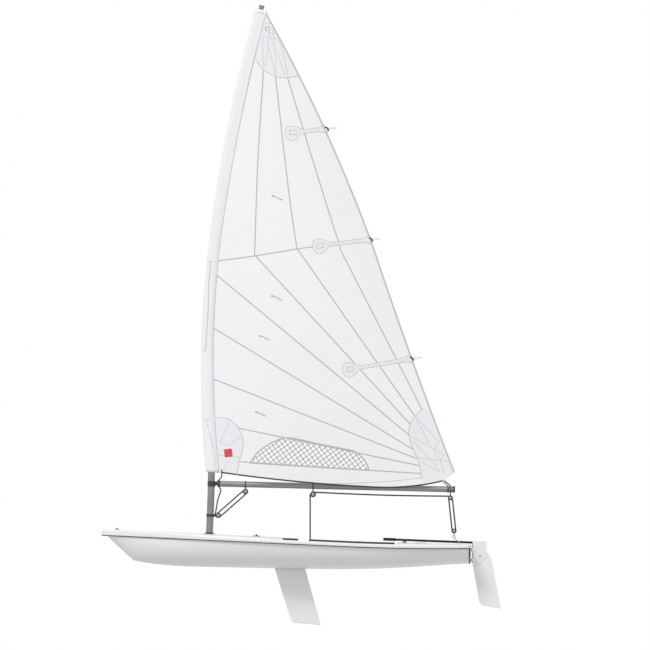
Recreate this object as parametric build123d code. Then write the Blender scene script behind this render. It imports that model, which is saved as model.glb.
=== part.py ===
from build123d import *
import math
import os

# Single-handed sailing dinghy, una-rigged, afloat.
# Frame: +X aft, +Y starboard, +Z up. Origin amidships on the waterline. Millimetres.

# Hull
hull_length = 4200.0
half_beam = 690.0
draught = 105.0
freeboard = 272.0
transom_share = 0.499
sheer_stern_height = 125.0
sheer_margin = 25.0
overrun = 40.0

# Hull sections: place along the hull and half width at the top, bottom depth and bilge,
# as shares of hull_length, half_beam, draught, half_beam and freeboard. The bow's sections
# make the straight stem, down to its knuckle at the waterline.
BOW_SECTION_SHARES = [
    # station, top half width, bottom, bilge half width, bilge height
    (-0.4905, 0.090, 2.78, 0.030, 1.080),
    (-0.4500, 0.220, 1.23, 0.070, 0.520),
    (-0.4143, 0.316, -0.08, 0.105, 0.060),
]
BODY_SECTION_SHARES = [
    # station, top half width, bottom, bilge half width, bilge height
    (-0.3571, 0.445, -0.47, 0.185, -0.090),
    (-0.2143, 0.706, -0.81, 0.390, -0.185),
    (0.0238, 0.940, -1.00, 0.590, -0.225),
    (0.2857, 0.918, -0.93, 0.600, -0.200),
    (transom_share, 0.750, -0.44, 0.510, -0.035),
]

# Sheer line in the side view: a straight run from the bow, then an arc to the stern,
# as shares of hull_length and freeboard.
SHEER_START_SHARE = (-0.52, 1.026)
SHEER_TURN_SHARE = (0.143, 0.548)

# Gunwale outline seen from above, as shares of hull_length and half_beam.
GUNWALE_SHARES = [
    # station, half width
    (-0.5007, 0.0),
    (-0.4857, 0.145),
    (-0.2143, 0.746),
    (0.1190, 1.0),
    (transom_share, 0.783),
]

# Deck
gunwale_height = 45.0
gunwale_round = 14.0
foredeck_crown = 29.0
foredeck_end_share = -0.0085
aft_deck_crown = 24.0
stern_crown = 4.0
aft_deck_start_share = 0.3015

# Cockpit
well_front_share = 0.0520
well_back_share = 0.2980
well_front_half_width = 275.0
well_back_half_width = 240.0
well_corner = 90.0
well_floor_height = 22.0
well_draft_angle = 7.0
tub_wall = 8.0

# Daggerboard and its trunk
board_rake_angle = 16.5
board_chord = 352.0
board_thickness = 28.0
board_nose_share = -0.0386
board_tip_depth = 747.0
board_tip_taper = 15.0
board_tip_round = 62.0
board_tip_rise = 29.0
trunk_clearance = 5.5
recess_half_width = 80.0
recess_margin = 34.0
stop_height = 22.0
stop_overhang = 17.0
seat_gap = 0.3

# Mast
mast_step_share = -0.2076
mast_radius = 40.0
mast_top_radius = 27.0
mast_rake_run = 28.0
mast_rake_rise = 707.0
deck_reference_height = 313.0
mast_foot_height = -28.0
mast_turn_height = 700.0
mast_low_bend_share = 0.09455
mast_low_bend_step = 3.0
mast_head_share = 0.96545
mast_head_aft_share = 0.1076
mast_joint_share = 0.32364
search_share = 1e-10
joint_collar_length = 60.0
joint_collar_wall = 3.5
bearing_gap = 0.08
step_wall = 5.0
step_floor = 6.0
collar_flange_radius = 62.0
collar_flange_height = 7.0
collar_height = 16.0

# Boom
boom_radius = 34.0
boom_gap = 90.7
boom_share = 0.98509
boom_below_tack = 116.0
boom_drop = 65.5
boom_cap_length = 30.0
boom_cap_lip = 2.5
gooseneck_height = 62.0
gooseneck_wall = 5.0
gooseneck_tongue = 12.0

# Blocks: cheeks, a sheave between them and a pin
block_cheek = 5.0
block_gap = 12.0
hanger_width = 14.0
strap_radius = 5.0
mid_block_radius = 34.0
mid_block_share = 0.40217
mid_block_drop = 95.0
end_block_radius = 28.0
end_block_share = 0.98047
end_block_drop = 98.0
vang_block_radius = 32.0
vang_low_height = 502.0
vang_low_reach = 92.0
vang_high_share = 0.11783
vang_high_drop = 82.0
outhaul_low_share = 0.97054

# Sail
sail_thickness = 3.0
sail_clearance = 0.6
sleeve_half_width = 46.0
sleeve_length = 130.0
sleeve_round = 30.0
batten_half_depth = 12.0
batten_gap = 0.3

# Every height of the sail is a share of luff_height above the tack, and every place along it
# is measured from the mast's axis at that height.
luff_height = 5500.0
tack_height = 980.0
foot_length = 2750.0

# Level slices of the cloth, wider than the sail, with luff and leech as shares of foot_length
# and the belly's depth as a share of the slice.
SAIL_SECTION_SHARES = [
    # height, luff, leech, belly
    (-0.03982, 0.01068, 1.07068, 0.045),
    (0.21900, 0.00841, 0.87841, 0.095),
    (0.58732, -0.00157, 0.56643, 0.100),
    (0.98052, -0.03813, 0.09187, 0.060),
]

# The sail's edges: leech and foot as shares of foot_length along.
LEECH_SHARES = [
    # along, height
    (0.3908, 0.71202),
    (0.6646, 0.46332),
    (0.8448, 0.23532),
    (1.0094, 0.00322),
]
FOOT_SHARES = [
    # along, height
    (0.9603, -0.01648),
    (0.8238, -0.02788),
    (0.6998, -0.02998),
    (0.3259, -0.01658),
    (0.0437, 0.00082),
]

# The sleeve's edges, before and behind the mast, as shares of sleeve_length along.
SLEEVE_FRONT_SHARES = [
    # along, height
    (-0.4815, 0.00402),
    (-0.7112, 0.22782),
    (-0.5761, 0.46332),
    (-0.4128, 0.71202),
    (-0.4541, 0.95582),
]
SLEEVE_SEAM_SHARES = [
    # along, height
    (0.6597, 0.00082),
    (0.3500, 0.23482),
    (0.3700, 0.46332),
    (0.5941, 0.71202),
    (0.5402, 0.95582),
]

# Battens: inner end and outer end, along as shares of foot_length.
BATTEN_SHARES = {
    # name: (inner along, inner height, outer along, outer height)
    "batten_top": (0.2590, 0.70682, 0.4350, 0.71732),
    "batten_middle": (0.4241, 0.47082, 0.6849, 0.48732),
    "batten_lower": (0.5714, 0.21382, 0.8832, 0.24082),
}

# Rudder and tiller
rudder_axis_gap = 18.0
pintle_radius = 4.5
gudgeon_radius = 9.5
gudgeon_height = 22.0
gudgeon_plate = 3.0
gudgeon_plate_half_width = 26.0
pintle_heights = (112.0, -4.0)
head_top_height = 209.0
head_bottom_height = -38.0
head_back_share = 0.0410
cheek_thickness = 6.0
spine_gap = 13.0
spine_thickness = 9.0
blade_thickness = 20.0
blade_side_gap = 1.5
pivot_height = 40.0
pivot_reach = 98.0
pivot_radius = 6.0
blade_head_radius = 66.0
blade_length = 600.0
blade_shoulder_gap = 7.0
blade_front_share = 0.157
blade_front_tip_share = -0.860
blade_back_share = 0.562
blade_back_tip_share = -0.932
blade_hip_share = 0.372
tiller_radius = 13.0
tiller_front_share = 0.2640
tiller_front_height = 232.0
tiller_back_height = 194.0
tiller_socket = 150.0
grip_radius = 17.0
grip_length = 142.0

# Deck gear
bow_eye_share = -0.4588
bow_eye_length = 57.0
bow_eye_height = 16.0
bow_eye_hole = 5.0
cleat_base_share = -0.0805
cleat_base_length = 84.0
cleat_base_height = 6.0
cam_radius = 11.0
cam_height = 14.0
sheet_cleat_share = 0.0650
sheet_cleat_side = 385.0
fairlead_share = 0.4690
fairlead_side = 400.0
fairlead_radius = 15.0
fairlead_lift = 24.0
traveller_rope_radius = 3.0
traveller_height = 250.0
traveller_share = 0.4560
traveller_ring_radius = 17.0
lower_block_height = 325.0
rail_front_share = 0.0667
rail_back_share = 0.2952
rail_side = 500.0
rail_height = 22.0
rail_half_width = 9.0
strap_width = 50.0
strap_thickness = 4.0
strap_height = 76.0
strap_plate = 5.0
strap_front_share = 0.0950
strap_back_share = 0.2750
cockpit_block_share = 0.0715
cockpit_block_lift = 68.0
bailer_share = 0.2440
bailer_length = 120.0
bailer_width = 62.0
bailer_height = 12.0
port_share = 0.3660
port_radius = 62.0
port_height = 8.0
drain_radius = 14.0
drain_flange_radius = 24.0
drain_height = 62.0
drain_side = 120.0
drain_flange = 4.0


def at_share(share):
    return share * hull_length


transom_x = at_share(transom_share)
stem_x = -hull_length / 2


def xz(x, z, y=0):
    return Vector(x, y, z)


def sheer_path(lift):
    """The sheer line in the side view, raised by lift: a straight run, then an arc."""
    start = xz(at_share(SHEER_START_SHARE[0]), SHEER_START_SHARE[1] * freeboard + lift)
    turn = xz(at_share(SHEER_TURN_SHARE[0]), SHEER_TURN_SHARE[1] * freeboard + lift)
    end = xz(transom_x + overrun, sheer_stern_height + lift)
    return [Line(start, turn), TangentArc(turn, end, tangent=turn - start)]


def sheer_height(x):
    """Height of the sheer line at a place along the hull."""
    straight, arc = sheer_path(0)
    turn = arc.position_at(0)
    if x <= turn.X:
        start = straight.position_at(0)
        return start.Z + (turn.Z - start.Z) * (x - start.X) / (turn.X - start.X)
    centre = arc.arc_center
    return centre.Z - math.sqrt(arc.radius ** 2 - (x - centre.X) ** 2)


def side_prism(edges, half_width):
    """A closed outline in the side view, spread to both sides of the centreline."""
    face = make_face(edges)
    return extrude(face, amount=half_width, dir=(0, 1, 0), both=True)


def below_sheer(lift, depth):
    """Everything under the raised sheer line."""
    edges = sheer_path(lift)
    start = edges[0].position_at(0)
    end = edges[1].position_at(1)
    low_end = xz(end.X, -depth)
    low_start = xz(start.X, -depth)
    edges += [Line(end, low_end), Line(low_end, low_start), Line(low_start, start)]
    return side_prism(edges, half_beam + overrun)


def hull_section(station, top_share, bottom_share, bilge_share, bilge_height_share):
    """One cross-section: a shallow bottom arc, two topside arcs and a straight top."""
    x = at_share(station)
    top_y = top_share * half_beam
    top_z = sheer_height(x) + sheer_margin
    if bottom_share > 0:
        top_z = max(top_z, bottom_share * draught + sheer_margin)
    bilge_y = bilge_share * half_beam
    bilge_z = bilge_height_share * freeboard
    keel = Vector(x, 0, bottom_share * draught)
    port = Vector(x, -bilge_y, bilge_z)
    starboard = Vector(x, bilge_y, bilge_z)
    bottom = ThreePointArc(port, keel, starboard)
    right = TangentArc(starboard, Vector(x, top_y, top_z), tangent=bottom.tangent_at(1))
    left = TangentArc(port, Vector(x, -top_y, top_z), tangent=-bottom.tangent_at(0))
    top = Line(Vector(x, top_y, top_z), Vector(x, -top_y, top_z))
    return make_face([bottom, right, top, left])


def gunwale_outline():
    """The gunwale seen from above, as a closed face: tangent arcs on each side."""
    points = [Vector(at_share(station), width * half_beam) for station, width in GUNWALE_SHARES]
    edges = []
    direction = Vector(0, 1)
    for first, second in zip(points, points[1:]):
        arc = TangentArc(first, second, tangent=direction)
        direction = arc.tangent_at(1)
        edges.append(arc)
    mirrored = [edge.mirror(Plane.XZ) for edge in edges]
    last = points[-1]
    stern = Line(last, Vector(last.X, -last.Y))
    return make_face(edges + mirrored + [stern])


def gunwale_prism():
    return extrude(Plane.XY.offset(-hull_length) * gunwale_outline(), amount=2 * hull_length)


def well_outline(growth, height):
    """The cockpit well seen from above at a height: a rounded trapezium."""
    front = at_share(well_front_share) - growth
    back = at_share(well_back_share) + growth
    front_half = well_front_half_width + growth
    back_half = well_back_half_width + growth
    face = make_face(Polyline(
        (front, -front_half), (back, -back_half), (back, back_half), (front, front_half), close=True))
    return Pos(0, 0, height) * fillet(face.vertices(), well_corner + growth)


def well_solid(growth, floor_height, top_height):
    """The well's hollow, grown by growth on its sides, narrowing to the floor."""
    narrowing = (top_height - floor_height) * math.tan(math.radians(well_draft_angle))
    return loft([
        well_outline(growth - narrowing, floor_height),
        well_outline(growth, top_height)], ruled=True)


rake = math.radians(board_rake_angle)
board_axis = Vector(math.sin(rake), 0, -math.cos(rake))


def board_place(x_at_water, height):
    """A point on the centreline, moved along the board's rake to a height."""
    return xz(x_at_water - height * math.tan(rake), height)


def trunk_prism(growth, thickness, low, high):
    """The raked slot that the board slides in."""
    front = at_share(board_nose_share) - growth
    back = front + board_chord + 2 * growth
    corners = [
        board_place(front, low), board_place(back, low),
        board_place(back, high), board_place(front, high)]
    return side_prism(Polyline(*corners, close=True).edges(), thickness / 2 + growth)


mast_step_x = at_share(mast_step_share)
mast_slope = mast_rake_run / mast_rake_rise
mast_angle = math.degrees(math.atan(mast_slope))


def mast_at(height):
    """The straight lower mast's axis at a height."""
    return xz(mast_step_x + mast_slope * (height - deck_reference_height), height)


def mast_location(height):
    return Location(mast_at(height), (0, mast_angle, 0))


def luff_place(share):
    """A height on the sail, as a share of the luff above the tack."""
    return tack_height + share * luff_height


def mast_edges():
    """The mast's bent axis: straight, a slight bend forward, then a long bend aft."""
    foot = mast_at(mast_foot_height)
    turn = mast_at(mast_turn_height)
    low_bend = xz(turn.X - mast_low_bend_step, luff_place(mast_low_bend_share))
    head = xz(mast_step_x + mast_head_aft_share * luff_height, luff_place(mast_head_share))
    straight = Line(foot, turn)
    forward = TangentArc(turn, low_bend, tangent=turn - foot)
    aft = TangentArc(low_bend, head, tangent=forward.tangent_at(1))
    return [straight, forward, aft]


def mast_x(height):
    """The mast's axis at a height, and straight up from its head."""
    for edge in mast_edges():
        if height <= edge.position_at(1).Z:
            return edge.position_at(height_on(edge, height)).X
    return edge.position_at(1).X


def height_on(edge, height):
    """The parameter where an edge reaches a height."""
    low, high = 0, 1
    while high - low > search_share:
        middle = (low + high) / 2
        if edge.position_at(middle).Z < height:
            low = middle
        else:
            high = middle
    return low


def tube_along(edges, radius):
    """A round bar along connected edges."""
    start = edges[0].position_at(0)
    profile = Plane(origin=start, z_dir=edges[0].tangent_at(0)) * Circle(radius)
    return sweep(profile, path=Wire(edges))


def rod(start, end, radius):
    """A round bar between two points."""
    start, end = Vector(start), Vector(end)
    plane = Plane(origin=start, z_dir=end - start)
    return extrude(plane * Circle(radius), amount=(end - start).length)


def box_between(low, high):
    size = Vector(high) - Vector(low)
    centre = (Vector(high) + Vector(low)) / 2
    return Pos(centre) * Box(size.X, size.Y, size.Z)


def cross_disc(x, z, radius, width):
    """A disc whose axis runs across the boat."""
    return Pos(x, 0, z) * Rot(90, 0, 0) * Cylinder(radius, width)


# Hull and deck


def make_hull():
    bow_sections = [hull_section(*row) for row in BOW_SECTION_SHARES]
    body_sections = [hull_section(*row) for row in BODY_SECTION_SHARES]
    bow = loft(bow_sections)
    body = loft(bow_sections[-1:] + body_sections)
    hull = (bow + body) & below_sheer(0, hull_length / 2)
    hull -= well_solid(tub_wall, well_floor_height - tub_wall, freeboard)
    hull -= trunk_prism(trunk_clearance, board_thickness, -freeboard, 2 * freeboard)
    hull -= mast_location(mast_foot_height - step_floor) * Cylinder(
        mast_radius + step_wall + bearing_gap, hull_length,
        align=(Align.CENTER, Align.CENTER, Align.MIN))
    return hull


def crown_cap(start_x, end_x, radius, start_lift, end_lift):
    """A cambered cap on the deck: a long round surface about the crown line."""
    start = xz(start_x, sheer_height(start_x) + gunwale_height + start_lift)
    end = xz(end_x, sheer_height(end_x) + gunwale_height + end_lift)
    direction = (end - start).normalized()
    normal = Vector(-direction.Z, 0, direction.X)
    if normal.Z < 0:
        normal = -normal
    centre = start - normal * radius
    plane = Plane(origin=centre, x_dir=(0, 1, 0), z_dir=direction)
    cylinder = extrude(plane * Circle(radius), amount=(end - start).length)
    slab = box_between((start_x, -half_beam - overrun, 0), (end_x, half_beam + overrun, 2 * freeboard))
    return cylinder & slab


def lower_rim(deck):
    """The gunwale's lower edge, from the bow to the transom."""
    outline = gunwale_outline().face().outer_wire()
    rim = []
    for edge in deck.edges():
        middle = edge.position_at(0.5)
        level = abs(middle.Z - sheer_height(middle.X)) < seat_gap * 2
        across = middle.X > transom_x - seat_gap
        if level and not across and outline.distance_to(Vertex(middle.X, middle.Y, 0)) < seat_gap:
            rim.append(edge)
    return rim


def make_deck():
    prism = gunwale_prism()
    fore_radius = half_beam ** 2 / (2 * foredeck_crown)
    aft_radius = half_beam ** 2 / (2 * aft_deck_crown)
    solid = below_sheer(gunwale_height, hull_length / 2)
    solid += crown_cap(
        stem_x - overrun, at_share(foredeck_end_share), fore_radius, foredeck_crown, foredeck_crown)
    solid += crown_cap(
        at_share(aft_deck_start_share), transom_x + overrun, aft_radius, aft_deck_crown, stern_crown)
    deck = solid & prism
    deck -= below_sheer(0, hull_length)
    deck = fillet(lower_rim(deck), gunwale_round)
    deck -= well_solid(tub_wall, well_floor_height, freeboard)
    deck -= recess_prism()
    deck -= trunk_prism(trunk_clearance, board_thickness, -freeboard, 2 * freeboard)
    deck -= mast_location(mast_foot_height) * Cylinder(
        mast_radius + step_wall + bearing_gap, hull_length,
        align=(Align.CENTER, Align.CENTER, Align.MIN))
    return deck


def recess_prism():
    """A shallow recess round the trunk, level with the deck beside the well."""
    end = at_share(foredeck_end_share)
    front = at_share(board_nose_share) - math.tan(rake) * freeboard - recess_margin - stop_overhang
    low_front = xz(front, sheer_height(front) + gunwale_height)
    low_back = xz(end, sheer_height(end) + gunwale_height)
    lift = Vector(0, 0, freeboard)
    edges = Polyline(low_front, low_back, low_back + lift, low_front + lift, close=True).edges()
    return side_prism(edges, recess_half_width)


def make_tub():
    """The cockpit's moulding: floor and sides, open at the top."""
    top = freeboard + overrun
    outer = well_solid(tub_wall, well_floor_height - tub_wall, freeboard)
    inner = well_solid(0, well_floor_height, freeboard)
    tub = outer - inner
    return tub & below_sheer(gunwale_height, top)


def make_mast_step():
    """The tube moulded into the hull that takes the mast's foot."""
    bottom = mast_foot_height - step_floor
    length = (sheer_height(mast_step_x) - bottom) / math.cos(math.radians(mast_angle))
    low = (Align.CENTER, Align.CENTER, Align.MIN)
    tube = mast_location(bottom) * Cylinder(mast_radius + step_wall + bearing_gap, length, align=low)
    bore = mast_location(mast_foot_height) * Cylinder(mast_radius + bearing_gap, 2 * length, align=low)
    return tube - bore


def make_mast_collar():
    """The bearing ring where the mast goes through the deck."""
    crown = sheer_height(mast_step_x) + gunwale_height + foredeck_crown
    low = (Align.CENTER, Align.CENTER, Align.MIN)
    step_length = (crown - sheer_height(mast_step_x)) / math.cos(math.radians(mast_angle))
    sleeve = mast_location(sheer_height(mast_step_x)) * Cylinder(
        mast_radius + step_wall + bearing_gap, step_length + collar_height, align=low)
    flange = mast_location(crown) * Cylinder(collar_flange_radius, collar_flange_height, align=low)
    bore = mast_location(0) * Cylinder(mast_radius + bearing_gap, hull_length, align=low)
    return (sleeve + flange) - bore


# Mast and boom


def make_masts():
    straight, forward, aft = mast_edges()
    joint = height_on(aft, luff_place(mast_joint_share))
    lower = tube_along([straight, forward, aft.trim(0, joint)], mast_radius)
    upper = tube_along([aft.trim(joint, 1)], mast_top_radius)
    return lower, upper


def make_mast_joint():
    _, _, aft = mast_edges()
    joint = height_on(aft, luff_place(mast_joint_share))
    place = Plane(origin=aft.position_at(joint), z_dir=aft.tangent_at(joint))
    ring = extrude(place * Circle(mast_radius), amount=joint_collar_length)
    bore = tube_along([aft.trim(joint, 1)], mast_top_radius)
    return ring - bore


def make_mast_cap():
    _, _, aft = mast_edges()
    place = Plane(origin=aft.position_at(1), z_dir=aft.tangent_at(1))
    cap = extrude(place * Circle(mast_top_radius + joint_collar_wall), amount=joint_collar_length / 2)
    return fillet(cap.edges().group_by(Axis.Z)[-1], joint_collar_wall * 2)


boom_front_height = tack_height - boom_below_tack
boom_front = xz(mast_step_x + boom_gap, boom_front_height)
boom_back = xz(boom_front.X + boom_share * foot_length, boom_front_height - boom_drop)
boom_direction = (boom_back - boom_front).normalized()


def boom_at(share):
    """The boom's axis at a share of its length."""
    return boom_front + (boom_back - boom_front) * share


def make_boom():
    start = boom_front + boom_direction * boom_cap_length
    end = boom_back - boom_direction * boom_cap_length
    return rod(start, end, boom_radius)


def make_boom_end_cap():
    start = boom_back - boom_direction * boom_cap_length
    return rod(start, boom_back, boom_radius + boom_cap_lip)


def make_boom_front_cap():
    """The boom's front plug with the tongue that the gooseneck pin goes through."""
    end = boom_front + boom_direction * boom_cap_length
    plug = rod(boom_front, end, boom_radius + boom_cap_lip)
    reach = gooseneck_reach()
    low = boom_front - Vector(reach / 2, gooseneck_tongue / 2, gooseneck_height / 4)
    high = boom_front + Vector(boom_cap_lip, gooseneck_tongue / 2, gooseneck_height / 4)
    tongue = box_between(low, high)
    return plug + tongue


def gooseneck_reach():
    """From the mast's aft face to the front of the boom."""
    return boom_front.X - mast_at(boom_front_height).X - mast_radius


def make_gooseneck():
    """A ring round the mast with two lugs and a pin for the boom's tongue."""
    ring = mast_location(boom_front_height) * Cylinder(mast_radius + gooseneck_wall, gooseneck_height)
    x_mast = mast_at(boom_front_height).X + mast_radius
    reach = gooseneck_reach()
    lug_end = x_mast + reach * 2 / 3
    lugs = box_between(
        (x_mast - mast_radius, -gooseneck_tongue, boom_front_height - gooseneck_height / 3),
        (lug_end, gooseneck_tongue, boom_front_height + gooseneck_height / 3))
    slot = box_between(
        (x_mast + gooseneck_wall, -gooseneck_tongue / 2, 0),
        (lug_end + overrun, gooseneck_tongue / 2, boom_front_height + gooseneck_height))
    lower_mast, _ = make_masts()
    return (ring + lugs) - slot - lower_mast


def block_body(x, z, radius):
    """Two cheeks, a sheave and a pin."""
    width = block_gap + 2 * block_cheek
    body = cross_disc(x, z, radius, width)
    groove = cross_disc(x, z, radius + overrun, block_gap) - cross_disc(x, z, radius * 3 / 4, width)
    return body - groove


def hung_block(share, drop, radius):
    """A block under the boom on a strap that goes round the boom."""
    top = boom_at(share)
    strap = cross_rod_ring(top)
    hanger = box_between(
        (top.X - hanger_width / 2, -block_gap / 2, top.Z - drop),
        (top.X + hanger_width / 2, block_gap / 2, top.Z - boom_radius))
    hanger -= cross_disc(top.X, top.Z - drop, radius * 3 / 4, block_gap)
    return strap + (hanger - make_boom()) + block_body(top.X, top.Z - drop, radius)


def cross_rod_ring(centre):
    """A band round the boom."""
    plane = Plane(origin=centre - boom_direction * hanger_width / 2, z_dir=boom_direction)
    band = extrude(plane * Circle(boom_radius + strap_radius), amount=hanger_width)
    return band - extrude(plane * Circle(boom_radius), amount=hanger_width)


def make_vang_low_block():
    """The kicking strap's lower block on its fitting at the mast."""
    place = mast_at(vang_low_height)
    ring = mast_location(vang_low_height) * Cylinder(
        mast_radius + gooseneck_wall, gooseneck_height / 2)
    x = place.X + vang_low_reach
    tang = box_between(
        (place.X, -block_gap / 2, place.Z - hanger_width),
        (x - vang_block_radius / 2, block_gap / 2, place.Z + hanger_width))
    bore = mast_location(0) * Cylinder(mast_radius, hull_length, align=(Align.CENTER, Align.CENTER, Align.MIN))
    return (ring + tang - bore) + block_body(x, place.Z, vang_block_radius)


# Sail


def edge_points(rows, scale):
    """Places on the sail's edge in the side view, measured from the mast."""
    points = []
    for along_share, height_share in rows:
        height = luff_place(height_share)
        points.append(xz(mast_x(height) + along_share * scale, height))
    return points


def sail_section(height_share, luff_share, leech_share, belly_share):
    """One level slice of the cloth: a thin crescent from luff to leech."""
    height = luff_place(height_share)
    luff = xz(mast_x(height) + luff_share * foot_length, height)
    leech = xz(mast_x(height) + leech_share * foot_length, height)
    belly = (leech.X - luff.X) * belly_share
    middle = xz((luff.X + leech.X) / 2, height, -belly)
    side = Vector(0, sail_thickness, 0)
    near = ThreePointArc(luff, middle, leech)
    far = ThreePointArc(luff + side, middle + side, leech + side)
    return make_face([near, Line(leech, leech + side), far, Line(luff + side, luff)])


def sail_sheet():
    """The cloth's curved surface, wider than its outline."""
    return loft([sail_section(*row) for row in SAIL_SECTION_SHARES])


def sail_outline():
    """Everything inside the sail's edge in the side view."""
    front = edge_points(SLEEVE_FRONT_SHARES, sleeve_length)
    head = edge_points(SLEEVE_SEAM_SHARES, sleeve_length)[-1]
    leech = edge_points(LEECH_SHARES, foot_length)
    foot = edge_points(FOOT_SHARES, foot_length)
    return [
        ThreePointArc(front[0], front[1], front[2]),
        ThreePointArc(front[2], front[3], front[4]),
        Line(front[4], head),
        ThreePointArc(head, leech[0], leech[1]),
        ThreePointArc(leech[1], leech[2], leech[3]),
        Line(leech[3], foot[0]),
        ThreePointArc(foot[0], foot[1], foot[2]),
        ThreePointArc(foot[2], foot[3], foot[4]),
        Line(foot[4], front[0])]


def sleeve_outline():
    """The mast sleeve's outline in the side view."""
    front = edge_points(SLEEVE_FRONT_SHARES, sleeve_length)
    seam = edge_points(SLEEVE_SEAM_SHARES, sleeve_length)
    return [
        ThreePointArc(front[0], front[1], front[2]),
        ThreePointArc(front[2], front[3], front[4]),
        Line(front[4], seam[4]),
        ThreePointArc(seam[4], seam[3], seam[2]),
        ThreePointArc(seam[2], seam[1], seam[0]),
        Line(seam[0], front[0])]


def sleeve_solid():
    """The sleeve before the mast's room is cut: rounded along its front."""
    solid = side_prism(sleeve_outline(), sleeve_half_width)
    front = edge_points(SLEEVE_FRONT_SHARES, sleeve_length)
    places = [front[1], front[3]]
    edges = [edge for edge in solid.edges()
             if abs(edge.center().Y) > sleeve_half_width / 2
             and min((Vector(edge.position_at(0.5).X, 0, edge.position_at(0.5).Z) - place).length
                     for place in places) < luff_height / 5
             and edge.position_at(0.5).X < mast_x(edge.position_at(0.5).Z)]
    return fillet(edges, sleeve_round)


def mast_channel():
    """The mast's room inside the sleeve."""
    straight, forward, aft = mast_edges()
    joint = height_on(aft, luff_place(mast_joint_share))
    lower = tube_along([straight, forward, aft.trim(0, joint)], mast_radius + sail_clearance)
    upper = tube_along([aft.trim(joint, 1)], mast_top_radius + sail_clearance)
    place = Plane(origin=aft.position_at(joint), z_dir=aft.tangent_at(joint))
    collar = extrude(place * Circle(mast_radius + sail_clearance), amount=joint_collar_length + sail_clearance)
    return lower + upper + collar


def make_sail():
    cloth = sail_sheet() & side_prism(sail_outline(), half_beam)
    cloth -= side_prism(sleeve_outline(), half_beam)
    for row in BATTEN_SHARES.values():
        cloth -= batten_prism(row, batten_gap)
    return sleeve_solid() - mast_channel() + cloth


def batten_prism(row, growth):
    """A batten's outline in the side view, grown by growth and spread across."""
    start, end = edge_points([row[:2], row[2:]], foot_length)
    direction = (end - start).normalized()
    start, end = start - direction * growth, end + direction * growth
    side = Vector(-direction.Z, 0, direction.X) * (batten_half_depth + growth)
    outline = Polyline(start - side, end - side, end + side, start + side, close=True).edges()
    return side_prism(outline, half_beam)


def make_batten(row):
    """A batten in its pocket in the cloth, which it follows."""
    return sail_sheet() & batten_prism(row, 0)


# Foils and steering


def make_daggerboard():
    front = at_share(board_nose_share)
    back = front + board_chord
    top_height = recess_level()
    tip_front = -board_tip_depth + board_tip_rise
    outline = Polyline(
        board_place(front, top_height),
        board_place(front, 0),
        board_place(front + board_tip_taper, tip_front),
        board_place(back - board_tip_taper, -board_tip_depth),
        board_place(back, 0),
        board_place(back, top_height), close=True)
    face = make_face(outline)
    tip_corners = face.vertices().sort_by(Axis.Z)[:2].sort_by(Axis.X)
    face = fillet(tip_corners[0], board_tip_round)
    board = extrude(face, amount=board_thickness / 2, dir=(0, 1, 0), both=True)
    edges = [edge for edge in board.edges() if abs(edge.center().Y) > board_thickness / 3
             and edge.length > board_thickness * 2 and edge.center().Z < top_height - overrun]
    return fillet(edges, board_thickness / 3)


def recess_level():
    """Height of the deck where the board comes through it."""
    return sheer_height(at_share(board_nose_share)) + gunwale_height


def make_board_stop():
    """The stop on the board's head, which sits on the deck round the slot."""
    level = recess_level()
    front = at_share(board_nose_share)
    low_front = board_place(front, level) - Vector(stop_overhang, 0, 0)
    low_back = board_place(front + board_chord, level) + Vector(stop_overhang, 0, 0)
    low_front.Z = sheer_height(low_front.X) + gunwale_height + seat_gap
    low_back.Z = sheer_height(low_back.X) + gunwale_height + seat_gap
    rise = Vector(0, 0, stop_height)
    outline = Polyline(low_front, low_back, low_back + rise, low_front + rise, close=True).edges()
    return side_prism(outline, board_thickness / 2 + stop_overhang) - make_daggerboard()


rudder_axis_x = transom_x + rudder_axis_gap
pivot = xz(rudder_axis_x + pivot_reach, pivot_height)


def make_gudgeon(height):
    """A plate on the transom with an eye for the pintle."""
    plate = box_between(
        (transom_x, -gudgeon_plate_half_width, height - gudgeon_height / 2),
        (transom_x + gudgeon_plate, gudgeon_plate_half_width, height + gudgeon_height / 2))
    eye = Pos(rudder_axis_x, 0, height) * Cylinder(gudgeon_radius, gudgeon_height)
    arm = box_between(
        (transom_x, -pintle_radius * 2, height - gudgeon_height / 2),
        (rudder_axis_x, pintle_radius * 2, height + gudgeon_height / 2))
    bore = Pos(rudder_axis_x, 0, height) * Cylinder(pintle_radius + bearing_gap, gudgeon_height * 2)
    return (plate + arm + eye) - bore


head_half_gap = blade_thickness / 2 + blade_side_gap
head_back_x = rudder_axis_x + head_back_share * hull_length


def make_rudder_head():
    """Two cheeks joined by a spine at the front."""
    spine_x = rudder_axis_x + spine_gap
    outline = Polyline(
        (spine_x, 0, head_top_height),
        (head_back_x, 0, head_top_height),
        (head_back_x, 0, pivot_height),
        (pivot.X + cheek_thickness, 0, head_bottom_height),
        (spine_x, 0, head_bottom_height), close=True)
    face = make_face(outline)
    low_corners = face.vertices().sort_by(Axis.Z)[:3].sort_by(Axis.X)[1:]
    face = fillet(low_corners, cheek_thickness * 4)
    whole = extrude(face, amount=head_half_gap + cheek_thickness, dir=(0, 1, 0), both=True)
    room = box_between(
        (spine_x + spine_thickness, -head_half_gap, head_bottom_height - overrun),
        (head_back_x + overrun, head_half_gap, head_top_height + overrun))
    bolt = cross_disc(pivot.X, pivot.Z, pivot_radius + bearing_gap, half_beam)
    return whole - room - bolt


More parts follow.
